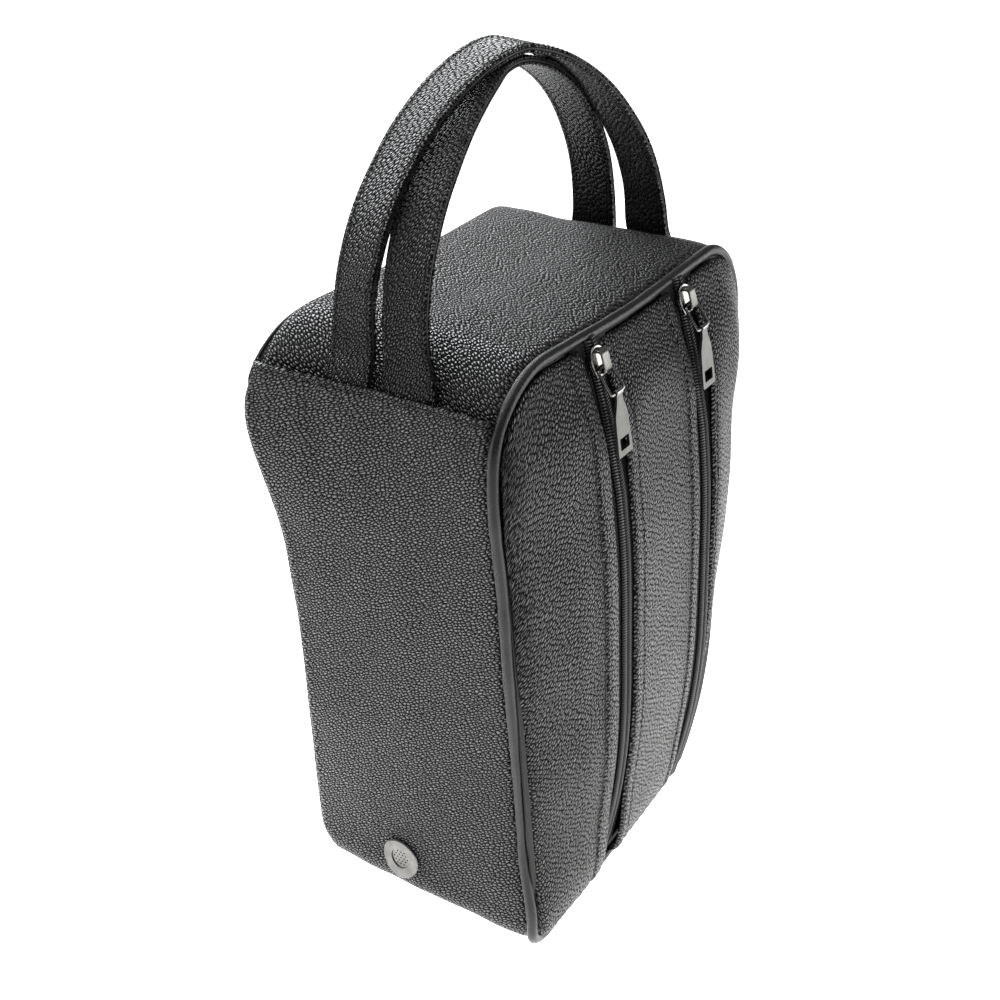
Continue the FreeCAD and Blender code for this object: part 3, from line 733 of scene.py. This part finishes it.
def make_front():
    inner, outer = ZIP_X - LEATHER_EDGE, ZIP_X + LEATHER_EDGE
    spans = {"center": (-inner, inner), "right": (outer, PANEL_X), "left": (-PANEL_X, -outer)}
    for name, (low, high) in spans.items():
        panel = skin(f"front_cover_{name}", front_place, front_columns(low, high),
                     panel_shares(151), BAG_LEATHER, thickness=1.5, rim=0.0,
                     tall=PANEL_HIGH - PANEL_LOW)
        ride(panel, "bag", "bag_leather", f"front_panel_{name}")
    shares = np.linspace(0.012, 0.988, 300)
    paths = [[(row, share) for share in shares] for _, _, row in zip_edges()]
    rows = stitches("front_zip_thread", front_place, paths, THREAD, length=4.2, gap=1.1,
                    radius=0.4)
    ride(rows, "bag", "bag_leather")


def back_place(x, share, height):
    z = panel_z(x, share)
    away = panel_edge_distance(x, z)
    t = np.clip(np.abs(x) / PANEL_X, 0, 1)
    u = np.clip(np.abs(z - BOW_Z) / BOW_Z, 0, 1)
    crown = (BACK_APEX - EDGE_DEPTH) * (1 - t ** 2.4) * (1 - u ** 2.2)
    height = height + edge_tuck(away, 2.6, 2.6) + 0.9 * ripple(x, z, 120.0, 0.3)
    height = height + 0.7 * ripple(z, x, 84.0, 2.0)
    points = np.stack([x, EDGE_DEPTH + crown + height, z], -1)
    return soften(points)


def make_back():
    columns = spaced(-PANEL_X, PANEL_X, 3.0, fine=(-PANEL_X + 2, PANEL_X - 2), fine_step=0.5)
    panel = skin("back_cover", back_place, columns, panel_shares(121), BAG_LEATHER, rim=0.0,
                 flip=True, tall=PANEL_HIGH - PANEL_LOW)
    ride(panel, "bag", "bag_leather", "back_panel")


# piping ------------------------------------------------------------------------
def piping_path(step=PIPE_STEP):
    """Middle line of the piping round one face, with outward directions, in x and z."""
    half = PIPE_HIGH[0] - PIPE_R
    low, high = PIPE_LOW[2] + PIPE_R, PIPE_HIGH[2] - PIPE_R
    corners = [(half - PIPE_CORNER_LOW, low + PIPE_CORNER_LOW, PIPE_CORNER_LOW, -90),
               (half - PIPE_CORNER_HIGH, high - PIPE_CORNER_HIGH, PIPE_CORNER_HIGH, 0),
               (-half + PIPE_CORNER_HIGH, high - PIPE_CORNER_HIGH, PIPE_CORNER_HIGH, 90),
               (-half + PIPE_CORNER_LOW, low + PIPE_CORNER_LOW, PIPE_CORNER_LOW, 180)]
    points, normals = [], []
    for x, z, radius, start in corners:
        count = max(4, int(radius * math.pi / 2 / step))
        for angle in np.radians(np.linspace(start, start + 90, count)):
            points.append((x + radius * math.cos(angle), z + radius * math.sin(angle)))
            normals.append((math.cos(angle), math.sin(angle)))
    full_points, full_normals = [], []
    for index, point in enumerate(points):
        after = points[(index + 1) % len(points)]
        gap = math.dist(point, after)
        count = max(1, int(gap / step))
        for part in range(count):
            t = part / count
            full_points.append([point[k] + (after[k] - point[k]) * t for k in (0, 1)])
            mixed = [normals[index][k] * (1 - t) + normals[(index + 1) % len(points)][k] * t
                     for k in (0, 1)]
            full_normals.append(np.array(mixed) / np.linalg.norm(mixed))
    return np.array(full_points), np.array(full_normals)


def hidden_share(z):
    """How far the side walls wrap over the back piping: fully low down, not at all on top."""
    return 1 / (1 + np.exp((z - 318) / 6)) / (1 + np.exp((14 - z) / 4))


def press_in(points):
    """The back piping lies pressed in behind the side walls."""
    moved = points.copy()
    near = np.clip((np.abs(points[..., 0]) - 96) / 20, 0, 1) * (points[..., 1] > 0)
    moved[..., 0] -= np.sign(points[..., 0]) * 5.5 * near * hidden_share(points[..., 2])
    return moved


def piping_band(path, outward, sign, out, deep):
    """Sections carried round the piping's path; out and deep place each section's corners."""
    x, z = (path[:, k, None] + outward[:, k, None] * out for k in (0, 1))
    y = np.broadcast_to(sign * (PIPE_Y + deep), x.shape)
    return soften(press_in(np.stack([x, y, z], -1)))


def make_piping():
    path, outward = piping_path()
    run = np.arange(len(path))[:, None] * PIPE_STEP
    angles = np.arange(PIPE_SIDES) * math.tau / PIPE_SIDES
    grain = np.stack(np.broadcast_arrays(run, angles * PIPE_R, 0.0), -1)
    flange = np.array([(-2.2, -BINDING_DEPTH), (-2.2, 0.4), (-FLANGE, 0.4), (-FLANGE, -0.4),
                       (-3.0, -0.4), (-3.0, -BINDING_DEPTH)])
    for name, sign, radius, sunk in (("front", -1, PIPE_R, 0.0),
                                     ("back", 1, BACK_CORD_R, PIPE_R - BACK_CORD_R + 0.6)):
        swell = radius + 0.12 * ripple(run, run * 0, 31.0, 0.8)
        points = piping_band(path, outward, sign, swell * np.cos(angles) - sunk,
                             swell * np.sin(angles))
        piece = closed(f"{name}_piping", points, ring_faces(len(path), PIPE_SIDES),
                       PIPING_LEATHER, grain)
        ride(piece, "bag", "piping_leather", f"{name}_piping_cover", f"{name}_piping_cord")
        points = piping_band(path, outward, sign, *flange.T)
        strip = closed(f"{name}_piping_flange", points, ring_faces(len(path), len(flange)),
                       PIPING_LEATHER)
        ride(strip, "bag", "piping_leather")


# zips --------------------------------------------------------------------------
def chain_place(x, run, height):
    """Point on the zip's curve: run is the way along it from its middle, upwards."""
    angle = run / BOW_R
    reach = BOW_R + height + np.minimum(chain_relief(BOW_Z + BOW_R * np.sin(angle)), 0)
    return np.stack([x + 0 * run, BOW_Y - reach * np.cos(angle), BOW_Z + reach * np.sin(angle)], -1)


CHAIN_RUN = math.asin((PANEL_HIGH - BOW_Z) / BOW_R) * BOW_R
TOOTH_PITCH = 1.7


def tooth_section():
    """One turn of the coil across half the chain: (across, height) of its middle line."""
    return np.array([[0.4, -1.5], [0.5, -0.75], [1.3, -0.4], [3.0, -0.42], [4.1, -0.8],
                     [4.5, -1.6], [4.0, -2.2]])


def make_coil(name, side, half, direction):
    """Half of the chain: a tooth every pitch, the two halves half a pitch apart."""
    line, sides, radius = tooth_section(), 6, 0.46
    steps = np.arange(-CHAIN_RUN + 1, CHAIN_RUN - 1, TOOTH_PITCH)
    shift = 0.0 if direction * side > 0 else TOOTH_PITCH / 2
    reach = np.concatenate([line[:1], line, line[-1:]])
    slope = reach[2:] - reach[:-2]
    normal = unit(np.stack([-slope[:, 1], slope[:, 0]], -1))
    angles = np.arange(sides) * math.tau / sides
    across, lift = (line[:, k, None] + normal[:, k, None] * radius * np.cos(angles)
                    for k in (0, 1))
    run = 0.8 * (line[:, :1] - 0.5) / 3.8 + 0.7 * np.sin(angles)
    points = chain_place(side * ZIP_X + direction * across, steps[:, None, None] + shift + run,
                         lift)
    faces = tube_faces(len(line), sides, len(steps))
    piece = closed(f"{name}_coil_{half}", points, faces, COIL)
    ride(piece, "bag", "zip_coil", f"{name}_zip_coil_{half}")


def make_tape(name, side, half, direction):
    """Woven tape under the chain, with the raised cord that the coil is sewn to."""
    middle = side * ZIP_X
    section = [(0.7, -3.3), (TAPE_HALF, -3.3), (TAPE_HALF, -2.7), (LEATHER_EDGE, -2.7),
               (7.2, -2.65), (6.4, -2.35), (5.7, -2.15), (5.1, -2.35), (4.6, -2.65), (0.7, -2.65)]

    def place(run, across, height):
        return chain_place(middle + direction * across, run, height)

    along = np.linspace(-CHAIN_RUN, CHAIN_RUN, 170)
    piece = sweep(f"{name}_tape_{half}", place, along, section, TAPE)
    ride(piece, "bag", "zip_tape", f"{name}_zip_tape_{half}")
    path = [(run, 5.6) for run in np.linspace(-CHAIN_RUN + 1, CHAIN_RUN - 1, 300)]

    def raised(run, across, height):
        return place(run, across, height - 2.15)

    row = stitches(f"{name}_tape_thread_{half}", raised, [path], TAPE_THREAD, length=1.2, gap=0.6,
                   radius=0.24)
    ride(row, "bag", "zip_tape")


def make_zips():
    for name, side in (("left", -1), ("right", 1)):
        for half, inward in (("inner", -1), ("outer", 1)):
            make_coil(name, side, half, side * inward)
            make_tape(name, side, half, side * inward)


# sliders and pulls -----------------------------------------------------------------
PIVOT = (3.9, 3.4)      # the link's top bar: down along and out from the slider's middle


def slider_frame(side):
    """Turns slider coordinates (across, down along, out) into place, for one zip."""
    def place(points):
        points = np.asarray(points, float)
        across, along, height = points[..., 0], points[..., 1], points[..., 2]
        y = -height - BOW_APEX - BOW_Y
        z = -along
        cos, sin = math.cos(SLIDER_LIFT), math.sin(SLIDER_LIFT)
        return np.stack([side * (ZIP_X + across), BOW_Y + y * cos + z * sin,
                         BOW_Z - y * sin + z * cos], -1)
    return place


def slider_lift():
    """The angle that carries the slider from the curve's middle up to the closed end."""
    pivot = np.array(JOINTS["right_link_swing"]["pos_m"]) / MM
    angle = math.atan2(pivot[2] - BOW_Z, BOW_Y - pivot[1])
    return angle + math.atan2(PIVOT[0], BOW_R + PIVOT[1])


SLIDER_LIFT = slider_lift()


def plate(name, outline, height, place, material, bevel=0.25, hole=None, turns=(), segments=3):
    """A flat plate from an (across, along) outline, with rounded edges and an optional window."""
    work = bmesh.new()

    def loops(shape):
        return [[work.verts.new((x, y, level)) for x, y in shape] for level in height]

    low, high = loops(outline)
    pairs = [(k, (k + 1) % len(outline)) for k in range(len(outline))]
    if hole is None:
        work.faces.new(low[::-1])
        work.faces.new(high)
    for k, n in pairs:
        work.faces.new((low[k], low[n], high[n], high[k]))
    if hole is not None:
        inner_low, inner_high = loops(hole)
        for k, n in pairs:
            work.faces.new((inner_low[n], inner_low[k], inner_high[k], inner_high[n]))
            work.faces.new((low[n], low[k], inner_low[k], inner_low[n]))
            work.faces.new((high[k], high[n], inner_high[n], inner_high[k]))
    bmesh.ops.recalc_face_normals(work, faces=work.faces)
    work.verts.index_update()
    points = np.array([v.co for v in work.verts])
    faces = [tuple(v.index for v in face.verts) for face in work.faces]
    work.free()
    for turn in turns:
        points = turn(points)
    return round_edges(closed(name, place(points), faces, material, points), bevel, segments)


def round_edges(piece, width, segments=3, angle=32):
    bevel = piece.modifiers.new("edges", "BEVEL")
    bevel.width = width * MM
    bevel.segments = segments
    bevel.limit_method = "ANGLE"
    bevel.angle_limit = math.radians(angle)
    bevel.harden_normals = True
    return piece


def turn_about(along, height, degrees):
    """Rotation in slider coordinates that leans a piece in towards the zip."""
    angle = math.radians(degrees)

    def turn(points):
        da, dh = points[..., 1] - along, points[..., 2] - height
        out = points.copy()
        out[..., 1] = along + da * math.cos(angle) + dh * math.sin(angle)
        out[..., 2] = height - da * math.sin(angle) + dh * math.cos(angle)
        return out
    return turn


LINK_TILT = -19.4       # how far the link and the tab lean from the zip, in degrees
TAB_TILT = 8.0
LINK_LENGTH = 13.7
LINK_HALF = 6.3
LINK_CORNER = 1.1
WIRE = 0.75             # half the wire's thickness
TAB_LENGTH = 34.0
TAB_THICK = 0.75        # half the tab's thickness


def arc(cx, cy, rx, ry, start, end, count):
    angles = np.radians(np.linspace(start, end, count))
    return [(cx + rx * math.cos(a), cy + ry * math.sin(a)) for a in angles]


def mirrored(half):
    """A whole outline from its right half."""
    return half + [(-x, along) for x, along in reversed(half)]


def make_slider(name, side):
    """The slider's top and lower plates, the post between them and its two flanks."""
    place = slider_frame(side)
    outline = (arc(0, -1.5, 6.6, 6.6, 180, 360, 21)
               + mirrored([(6.45, 1.2), (5.8, 3.8), (4.7, 6.8), (4.2, 8.0)]))
    post = [(-0.5, -7.0), (0.5, -7.0), (0.5, -1.6), (-0.5, -1.6)]
    flank = [(4.95, -4.8), (5.7, -4.8), (6.4, -2.2), (6.4, 1.0), (5.7, 3.7), (5.1, 5.4),
             (4.95, 5.4)]
    parts = (("plate", outline, (0.05, 1.7), 0.5, [f"{name}_slider_body"]),
             ("under", outline, (-4.9, -3.65), 0.4, []),
             ("post", post, (-3.7, 0.1), 0.1, []),
             ("flank_near", [(-x, along) for x, along in flank], (-2.4, 0.1), 0.12, []),
             ("flank_far", flank, (-2.4, 0.1), 0.12, []))
    for part, shape, height, bevel, nodes in parts:
        piece = plate(f"{name}_slider_{part}", shape, height, place, GUNMETAL, bevel)
        ride(piece, f"{name}_slider", "gunmetal", *nodes)


def make_crown(name, side):
    """Domed bridge, open below so that the link's top bar passes through."""
    outer = [(-6.2, 1.75), (-6.2, 3.4)] + arc(-3.4, 3.4, 2.8, 2.8, 180, 90, 7)[1:]
    outer += arc(3.3, 3.4, 2.8, 2.8, 90, 0, 7) + [(6.1, 1.75)]
    inner = [(4.9, 1.75), (4.9, 3.4)] + arc(3.3, 3.4, 1.6, 1.5, 0, 90, 5)[1:]
    inner += arc(-3.2, 3.4, 1.5, 1.5, 90, 180, 5) + [(-4.7, 1.75)]

    def stand_up(points):
        """The outline lies in (along, height), and its thickness goes across."""
        return points[..., [2, 0, 1]]

    piece = plate(f"{name}_crown", outer + inner, (-3.2, 3.2), slider_frame(side), SATIN, 0.55,
                  turns=(stand_up,), segments=4)
    ride(piece, f"{name}_slider", "gunmetal", f"{name}_slider_crown")


def make_link(name, side):
    """Rounded wire loop between the crown and the tab."""
    near, far = PIVOT[0] + LINK_CORNER, PIVOT[0] + LINK_LENGTH - LINK_CORNER
    wide = LINK_HALF - LINK_CORNER
    corners = ((wide, near, -90), (wide, far, 0), (-wide, far, 90), (-wide, near, 180))
    path = np.concatenate([arc(x, along, LINK_CORNER, LINK_CORNER, start, start + 90, 5)
                           for x, along, start in corners])
    forward = unit(np.roll(path, -1, 0) - np.roll(path, 1, 0))
    out = np.stack([forward[:, 1], -forward[:, 0]], -1)
    angles = np.arange(12) * math.tau / 12
    section = np.stack([np.cos(angles), np.sin(angles)], -1)
    section *= WIRE * (np.abs(section) ** 3).sum(-1, keepdims=True) ** (-1 / 3)
    ring = path[:, None] + out[:, None] * section[:, :1]
    height = np.broadcast_to(PIVOT[1] + section[:, 1:], (*ring.shape[:2], 1))
    points = turn_about(*PIVOT, LINK_TILT)(np.concatenate([ring, height], -1))
    piece = closed(f"{name}_link", slider_frame(side)(points), ring_faces(len(path), 12),
                   GUNMETAL, points)
    ride(piece, f"{name}_link", "gunmetal", f"{name}_pull_link")


def make_tab(name, side):
    """Die-cast pull tab: an eye on the link, a narrow neck, wide shoulders and a window."""
    place = slider_frame(side)
    start = PIVOT[0] + LINK_LENGTH
    turns = (turn_about(start, PIVOT[1], TAB_TILT - LINK_TILT), turn_about(*PIVOT, LINK_TILT))
    edge = [(2.7, 1.2), (2.8, 3.4), (3.2, 5.2), (4.3, 8.2), (5.4, 10.8), (5.9, 13.0),
            (6.25, 19.0), (6.55, 25.0), (6.8, 31.0), (6.9, 32.9), (6.3, TAB_LENGTH)]
    window = [(4.4, along) for along in np.linspace(24.7, 30.2, len(edge) - 2)]
    window = [(3.9, 24.2), *window, (3.9, 30.7)]
    outline, hole = (mirrored([(x, start + along) for x, along in half])
                     for half in (edge, window))
    body = plate(f"{name}_tab", outline, (PIVOT[1] - TAB_THICK, PIVOT[1] + TAB_THICK), place,
                 SATIN, 0.34, hole=hole, turns=turns)
    ride(body, f"{name}_tab", "gunmetal", f"{name}_pull_tab")
    rows = ((-2.9, 1.5), (-2.7, 1.65), (2.7, 1.65), (2.9, 1.5), (2.9, 0.9), (-2.9, 0.9))
    angles = np.arange(20) * math.tau / 20
    points = np.array([[(x, start + r * math.cos(a), PIVOT[1] + r * math.sin(a)) for a in angles]
                       for x, r in rows])
    for turn in turns:
        points = turn(points)
    eye = closed(f"{name}_tab_eye", place(points), ring_faces(len(rows), len(angles)), GUNMETAL,
                 points)
    ride(round_edges(eye, 0.12, 2), f"{name}_tab", "gunmetal")


def make_pulls():
    for name, side in (("left", -1), ("right", 1)):
        make_slider(name, side)
        make_crown(name, side)
        make_link(name, side)
        make_tab(name, side)


# handles -------------------------------------------------------------------------
ROW_IN = 2.5
LEG_FOOT = 20.5
# The soft straps do not keep to plain arches. half and high are the arch's size, powers its
# fullness; skew, bow and tip move its top; y gives its two roots, left then right; roll is
# the twist of the strap in degrees: even, left to right, and towards the top.
STRAPS = {
    "upper": {"half": 109.6, "high": 117.6, "powers": (1.26, 1.03), "skew": 25.0, "bow": 11.6,
              "tip": -6.9, "y": (21.4, -21.6), "roll": (-0.7, 13.8, 2.2)},
    "lower": {"half": 111.0, "high": 108.2, "powers": (1.23, 0.87), "skew": -0.4, "bow": 13.0,
              "tip": 21.0, "y": (-12.2, 14.2), "roll": (-1.5, 7.0, 0.2)},
}


def strap_frame(handle):
    """Middle line of a strap from its right root to its left, with its width and outward axes."""
    strap = STRAPS[handle]
    angles = np.linspace(0, math.pi, 241)
    cos, sin = np.cos(angles), np.clip(np.sin(angles), 1e-5, None)
    power_x, power_z = strap["powers"]
    left, right = strap["y"]
    x = np.sign(cos) * np.abs(cos) ** power_x * strap["half"] + strap["skew"] * sin ** 2
    y = right + (left - right) * (1 - cos) / 2 + strap["bow"] * sin ** 2
    z = HINGE_Z + sin ** power_z * strap["high"] + strap["tip"] * cos * sin
    line = np.stack([x, y, z], -1)
    legs = []
    for end, sign in ((line[0], 1), (line[-1], -1)):
        t = np.linspace(1, 0, 16)[:-1, None] if sign > 0 else np.linspace(0, 1, 16)[1:, None]
        foot = np.array([sign * TAIL_X, math.copysign(HINGE_Y, end[1]), HINGE_Z - LEG_FOOT])
        ease = t * t * (3 - 2 * t)
        leg = end + (foot - end) * ease
        leg[:, 2] = end[2] + (foot[2] - end[2]) * t[:, 0]
        legs.append(leg)
    line = np.concatenate([legs[0], line, legs[1]])
    for _ in range(24):
        line[1:-1] = (line[:-2] + 2 * line[1:-1] + line[2:]) / 4
    run = travelled(line)
    share = np.clip((run - 12) / (run[-1] - 24), 0, 1) * math.pi
    forward = unit(np.gradient(line, axis=0))
    wide = unit(np.array([0, 1, 0]) - forward * forward[:, 1:2])
    out = np.cross(wide, forward)
    even, across, top = strap["roll"]
    free = np.clip(np.minimum(run, run[-1] - run) / 45, 0, 1)
    twist = (np.radians(even + across * np.cos(share) + top * np.sin(share)) * free)[:, None]
    width_axis = wide * np.cos(twist) + out * np.sin(twist)
    out_axis = out * np.cos(twist) - wide * np.sin(twist)
    return run, np.concatenate([line, width_axis, out_axis], 1)


def strap_place(handle):
    """Coordinates of a strap: run along it, width across it, height outwards."""
    run_table, table = strap_frame(handle)
    seed = 0.6 if handle == "upper" else 1.7

    def place(run, width, height):
        run, width, height = np.broadcast_arrays(run, width, height)
        read = np.stack([np.interp(run, run_table, column) for column in table.T], -1)
        lift = height + 0.2 * ripple(run, width, 63.0, seed)
        return (read[..., 0:3] + read[..., 3:6] * width[..., None]
                + read[..., 6:9] * lift[..., None])
    return place, run_table[-1]


def strap_section(face):
    """Loop of an outer (face=1) or inner (face=-1) strap leather, dipped at its stitches."""
    row = STRAP_HALF - ROW_IN
    widths = spaced(-STRAP_HALF + 0.25, STRAP_HALF - 0.25, 2.2, fine=(-row, row), reach=1.2)
    loop = [(-STRAP_HALF, 0.85), (-STRAP_HALF, 1.5)]
    for w in widths:
        dome = 2.1 + 0.25 * (1 - (w / STRAP_HALF) ** 2)
        dip = groove(np.abs(w) - row, 0.35, 0.6)
        loop.append((w, dome + float(dip)))
    loop += [(STRAP_HALF, 1.5), (STRAP_HALF, 0.85)]
    return [(w, face * h) for w, h in loop]


def core_section():
    """Filler with its painted, slightly rounded edges."""
    half = STRAP_HALF - 0.15
    return [(-half + 0.3, -0.8), (-half, -0.4), (-half - 0.1, 0), (-half, 0.4), (-half + 0.3, 0.8),
            (half - 0.3, 0.8), (half, 0.4), (half + 0.1, 0), (half, -0.4), (half - 0.3, -0.8)]


def bend(piece, handle, slot, *nodes):
    """Bakes a strap's place into its points and hides the CAD parts that it stands for."""
    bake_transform(piece)
    return stand_for(piece, slot, nodes)


def make_handles():
    for name in STRAPS:
        place, length = strap_place(name)
        along = np.linspace(0, length, 190)
        layers = (("outer", strap_section(1), STRAP_LEATHER, "handle_leather"),
                  ("core", core_section(), EDGE_PAINT, "strap_filler"),
                  ("inner", strap_section(-1), STRAP_LEATHER, "handle_leather"))
        for layer, section, material, slot in layers:
            piece = sweep(f"{name}_strap_{layer}", place, along, section, material)
            extra = [f"{name}_handle_tails"] if layer == "outer" else []
            bend(piece, f"{name}_handle", slot, f"{name}_handle_{layer}", *extra)
        row = STRAP_HALF - ROW_IN
        spots = np.linspace(4, length - 4, 400)
        for face in (1, -1):
            def thread_place(run, width, height, face=face):
                return place(run, width, face * (2.05 + height))
            paths = [[(s, w) for s in spots] for w in (-row, row)]
            piece = stitches(f"{name}_strap_thread_{'outer' if face > 0 else 'inner'}",
                             thread_place, paths, THREAD, length=2.6, gap=0.8, radius=0.3)
            bend(piece, f"{name}_handle", "handle_leather")


# inner layers -------------------------------------------------------------------------
def make_inner():
    """Seam bindings and lining, moved with the soft outside so that nothing pokes through."""
    layers = {"front_seam_binding": BINDING, "back_seam_binding": BINDING, "lining_left": LINING,
              "lining_right": LINING, "base_board": FIBRE}
    slots = {BINDING: "binding_tape", LINING: "lining_fabric", FIBRE: "stiffener_board"}
    for node, material in layers.items():
        def move(points, back=node.startswith("back")):
            return soften(press_in(points) if back else points)
        copy_node(f"{node}_soft", node, move, material, slots[material])


def copy_node(name, node, move, material, slot):
    """A stand-in for a CAD part whose points are carried along by move()."""
    mesh = frame["nodes"][node].data
    points = np.zeros(len(mesh.vertices) * 3)
    mesh.vertices.foreach_get("co", points)
    points = points.reshape(-1, 3) / MM
    faces = [tuple(face.vertices) for face in mesh.polygons]
    piece = build(name, move(points), faces, material, points, smooth=False)
    return ride(piece, "bag", slot, node)


def make_vents():
    """The vents sit on the softened side walls, so they move out with them."""
    for name, sign in (("left", -1), ("right", 1)):
        low, high = low_high(f"vent_cap_{name}")
        centre = (low + high) / 2
        run = np.array([BASE_X + CORNER_LOW * math.pi / 2 + centre[2] - CORNER_LOW])
        wall = side_place(sign)(run, np.array([centre[1]]), np.array([0.0]))[0]
        plain = np.array([sign * BODY_X, centre[1], centre[2]])
        shift = wall - soften(plain) + np.array([sign * 0.5, 0, 0])
        for part in ("cap", "washer"):
            copy_node(f"{name}_vent_{part}", f"vent_{part}_{name}", lambda p: soften(p) + shift,
                      VENT_METAL, "vent_metal")


# carried-over parts -----------------------------------------------------------------
def dress_nodes():
    """Materials for the CAD parts that stay as they are."""
    looks = {"slider_spring": SPRING, "handle_anchor": FIBRE, "divider_panel": FIBRE}
    for node, piece in frame["nodes"].items():
        for word, material in looks.items():
            if word in node:
                piece.data.materials.clear()
                piece.data.materials.append(material)


# camera, floor and light -----------------------------------------------------------
VIEW_ANGLES = (-54.9, 29.2, -2.94)
VIEW_PLACE = (-0.648, -0.440, 0.648)
LENS, SENSOR = 55.6, 36


def make_camera():
    azimuth, elevation, roll = (math.radians(v) for v in VIEW_ANGLES)
    level = math.cos(elevation)
    back = Vector((math.sin(azimuth) * level, -math.cos(azimuth) * level, math.sin(elevation)))
    right = Vector((math.cos(azimuth), math.sin(azimuth), 0))
    up = back.cross(right)
    turned_right = right * math.cos(roll) + up * math.sin(roll)
    turned_up = up * math.cos(roll) - right * math.sin(roll)
    data = bpy.data.cameras.new("camera")
    data.lens = LENS
    data.sensor_width = SENSOR
    camera = bpy.data.objects.new("camera", data)
    bpy.context.scene.collection.objects.link(camera)
    axes = Matrix((turned_right, turned_up, back)).transposed()
    camera.matrix_world = Matrix.Translation(VIEW_PLACE) @ axes.to_4x4()
    bpy.context.scene.camera = camera


def area_light(name, place, aim, size, power, tint):
    data = bpy.data.lights.new(name, "AREA")
    data.shape = "RECTANGLE"
    data.size, data.size_y = size
    data.energy = power
    data.color = tint
    lamp = bpy.data.objects.new(name, data)
    bpy.context.scene.collection.objects.link(lamp)
    lamp.location = place
    lamp.rotation_mode = "QUATERNION"
    lamp.rotation_quaternion = (Vector(aim) - Vector(place)).to_track_quat("-Z", "Y")


def make_floor():
    """Pale paper that glows as painted light: brightest under the bag, to fill in the bag's shade
    there and light its lower walls from below, and weaker further out.
    """
    mesh = bpy.data.meshes.new("floor")
    mesh.from_pydata([(-6, -6, 0), (6, -6, 0), (6, 6, 0), (-6, 6, 0)], [], [(0, 1, 2, 3)])
    floor = bpy.data.objects.new("floor", mesh)
    bpy.context.scene.collection.objects.link(floor)
    paper = Nodes("glowing_floor")
    spot = paper.add("ShaderNodeTexCoord").outputs["Object"]
    away = paper.add("ShaderNodeVectorMath", operation="LENGTH", Vector=spot).outputs["Value"]
    # Painted light: the emission is 2.6 within 0.2 m of the middle and falls to 0.75 beyond 0.55 m,
    # so the paper glows like a lamp, most under the bag.
    paper.set(Base_Color=(0.8, 0.8, 0.8, 1), Roughness=0.9, Emission_Color=(1, 0.995, 0.985, 1),
              Emission_Strength=paper.spread(away, 0.2, 0.55, 2.6, 0.75))
    mesh.materials.append(paper.owner)
    floor.location.z = -0.0002


def make_world():
    """A sky that is dark at mid height and white overhead."""
    sky = Nodes("world", bpy.data.worlds)
    place = sky.add("ShaderNodeTexCoord").outputs["Generated"]
    split = sky.add("ShaderNodeSeparateXYZ", Vector=place)
    sky.set(Strength=1.0, Color=sky.ramp(
        split.outputs[2], (0.12, (0.24, 0.24, 0.245)), (0.45, (0.12, 0.12, 0.123)),
        (0.95, (1.0, 1.0, 1.02))))
    bpy.context.scene.world = sky.owner


def make_lights():
    # name, place, aim, size in metres, power, tint
    area_light("top", (-0.1, 0.9, 1.5), (0, 0, 0.35), (1.4, 1.0), 26, (0.97, 0.99, 1.0))
    area_light("rear", (0.75, 1.1, 0.95), (-0.02, 0, 0.35), (1.2, 0.8), 26, (0.95, 0.98, 1.0))
    area_light("front", (1.0, -1.3, 0.35), (0, 0, 0.08), (1.3, 0.6), 14, (1.0, 0.98, 0.94))
    area_light("left", (-1.2, 0.8, 0.22), (-0.1, 0, 0.04), (0.4, 0.3), 3, (1.0, 0.98, 0.97))
    bpy.context.scene.view_settings.view_transform = "Standard"


make_camera()
make_sides()
make_top()
make_base()
make_front()
make_back()
make_piping()
make_zips()
make_pulls()
make_handles()
make_inner()
make_vents()
dress_nodes()
make_floor()
make_world()
make_lights()
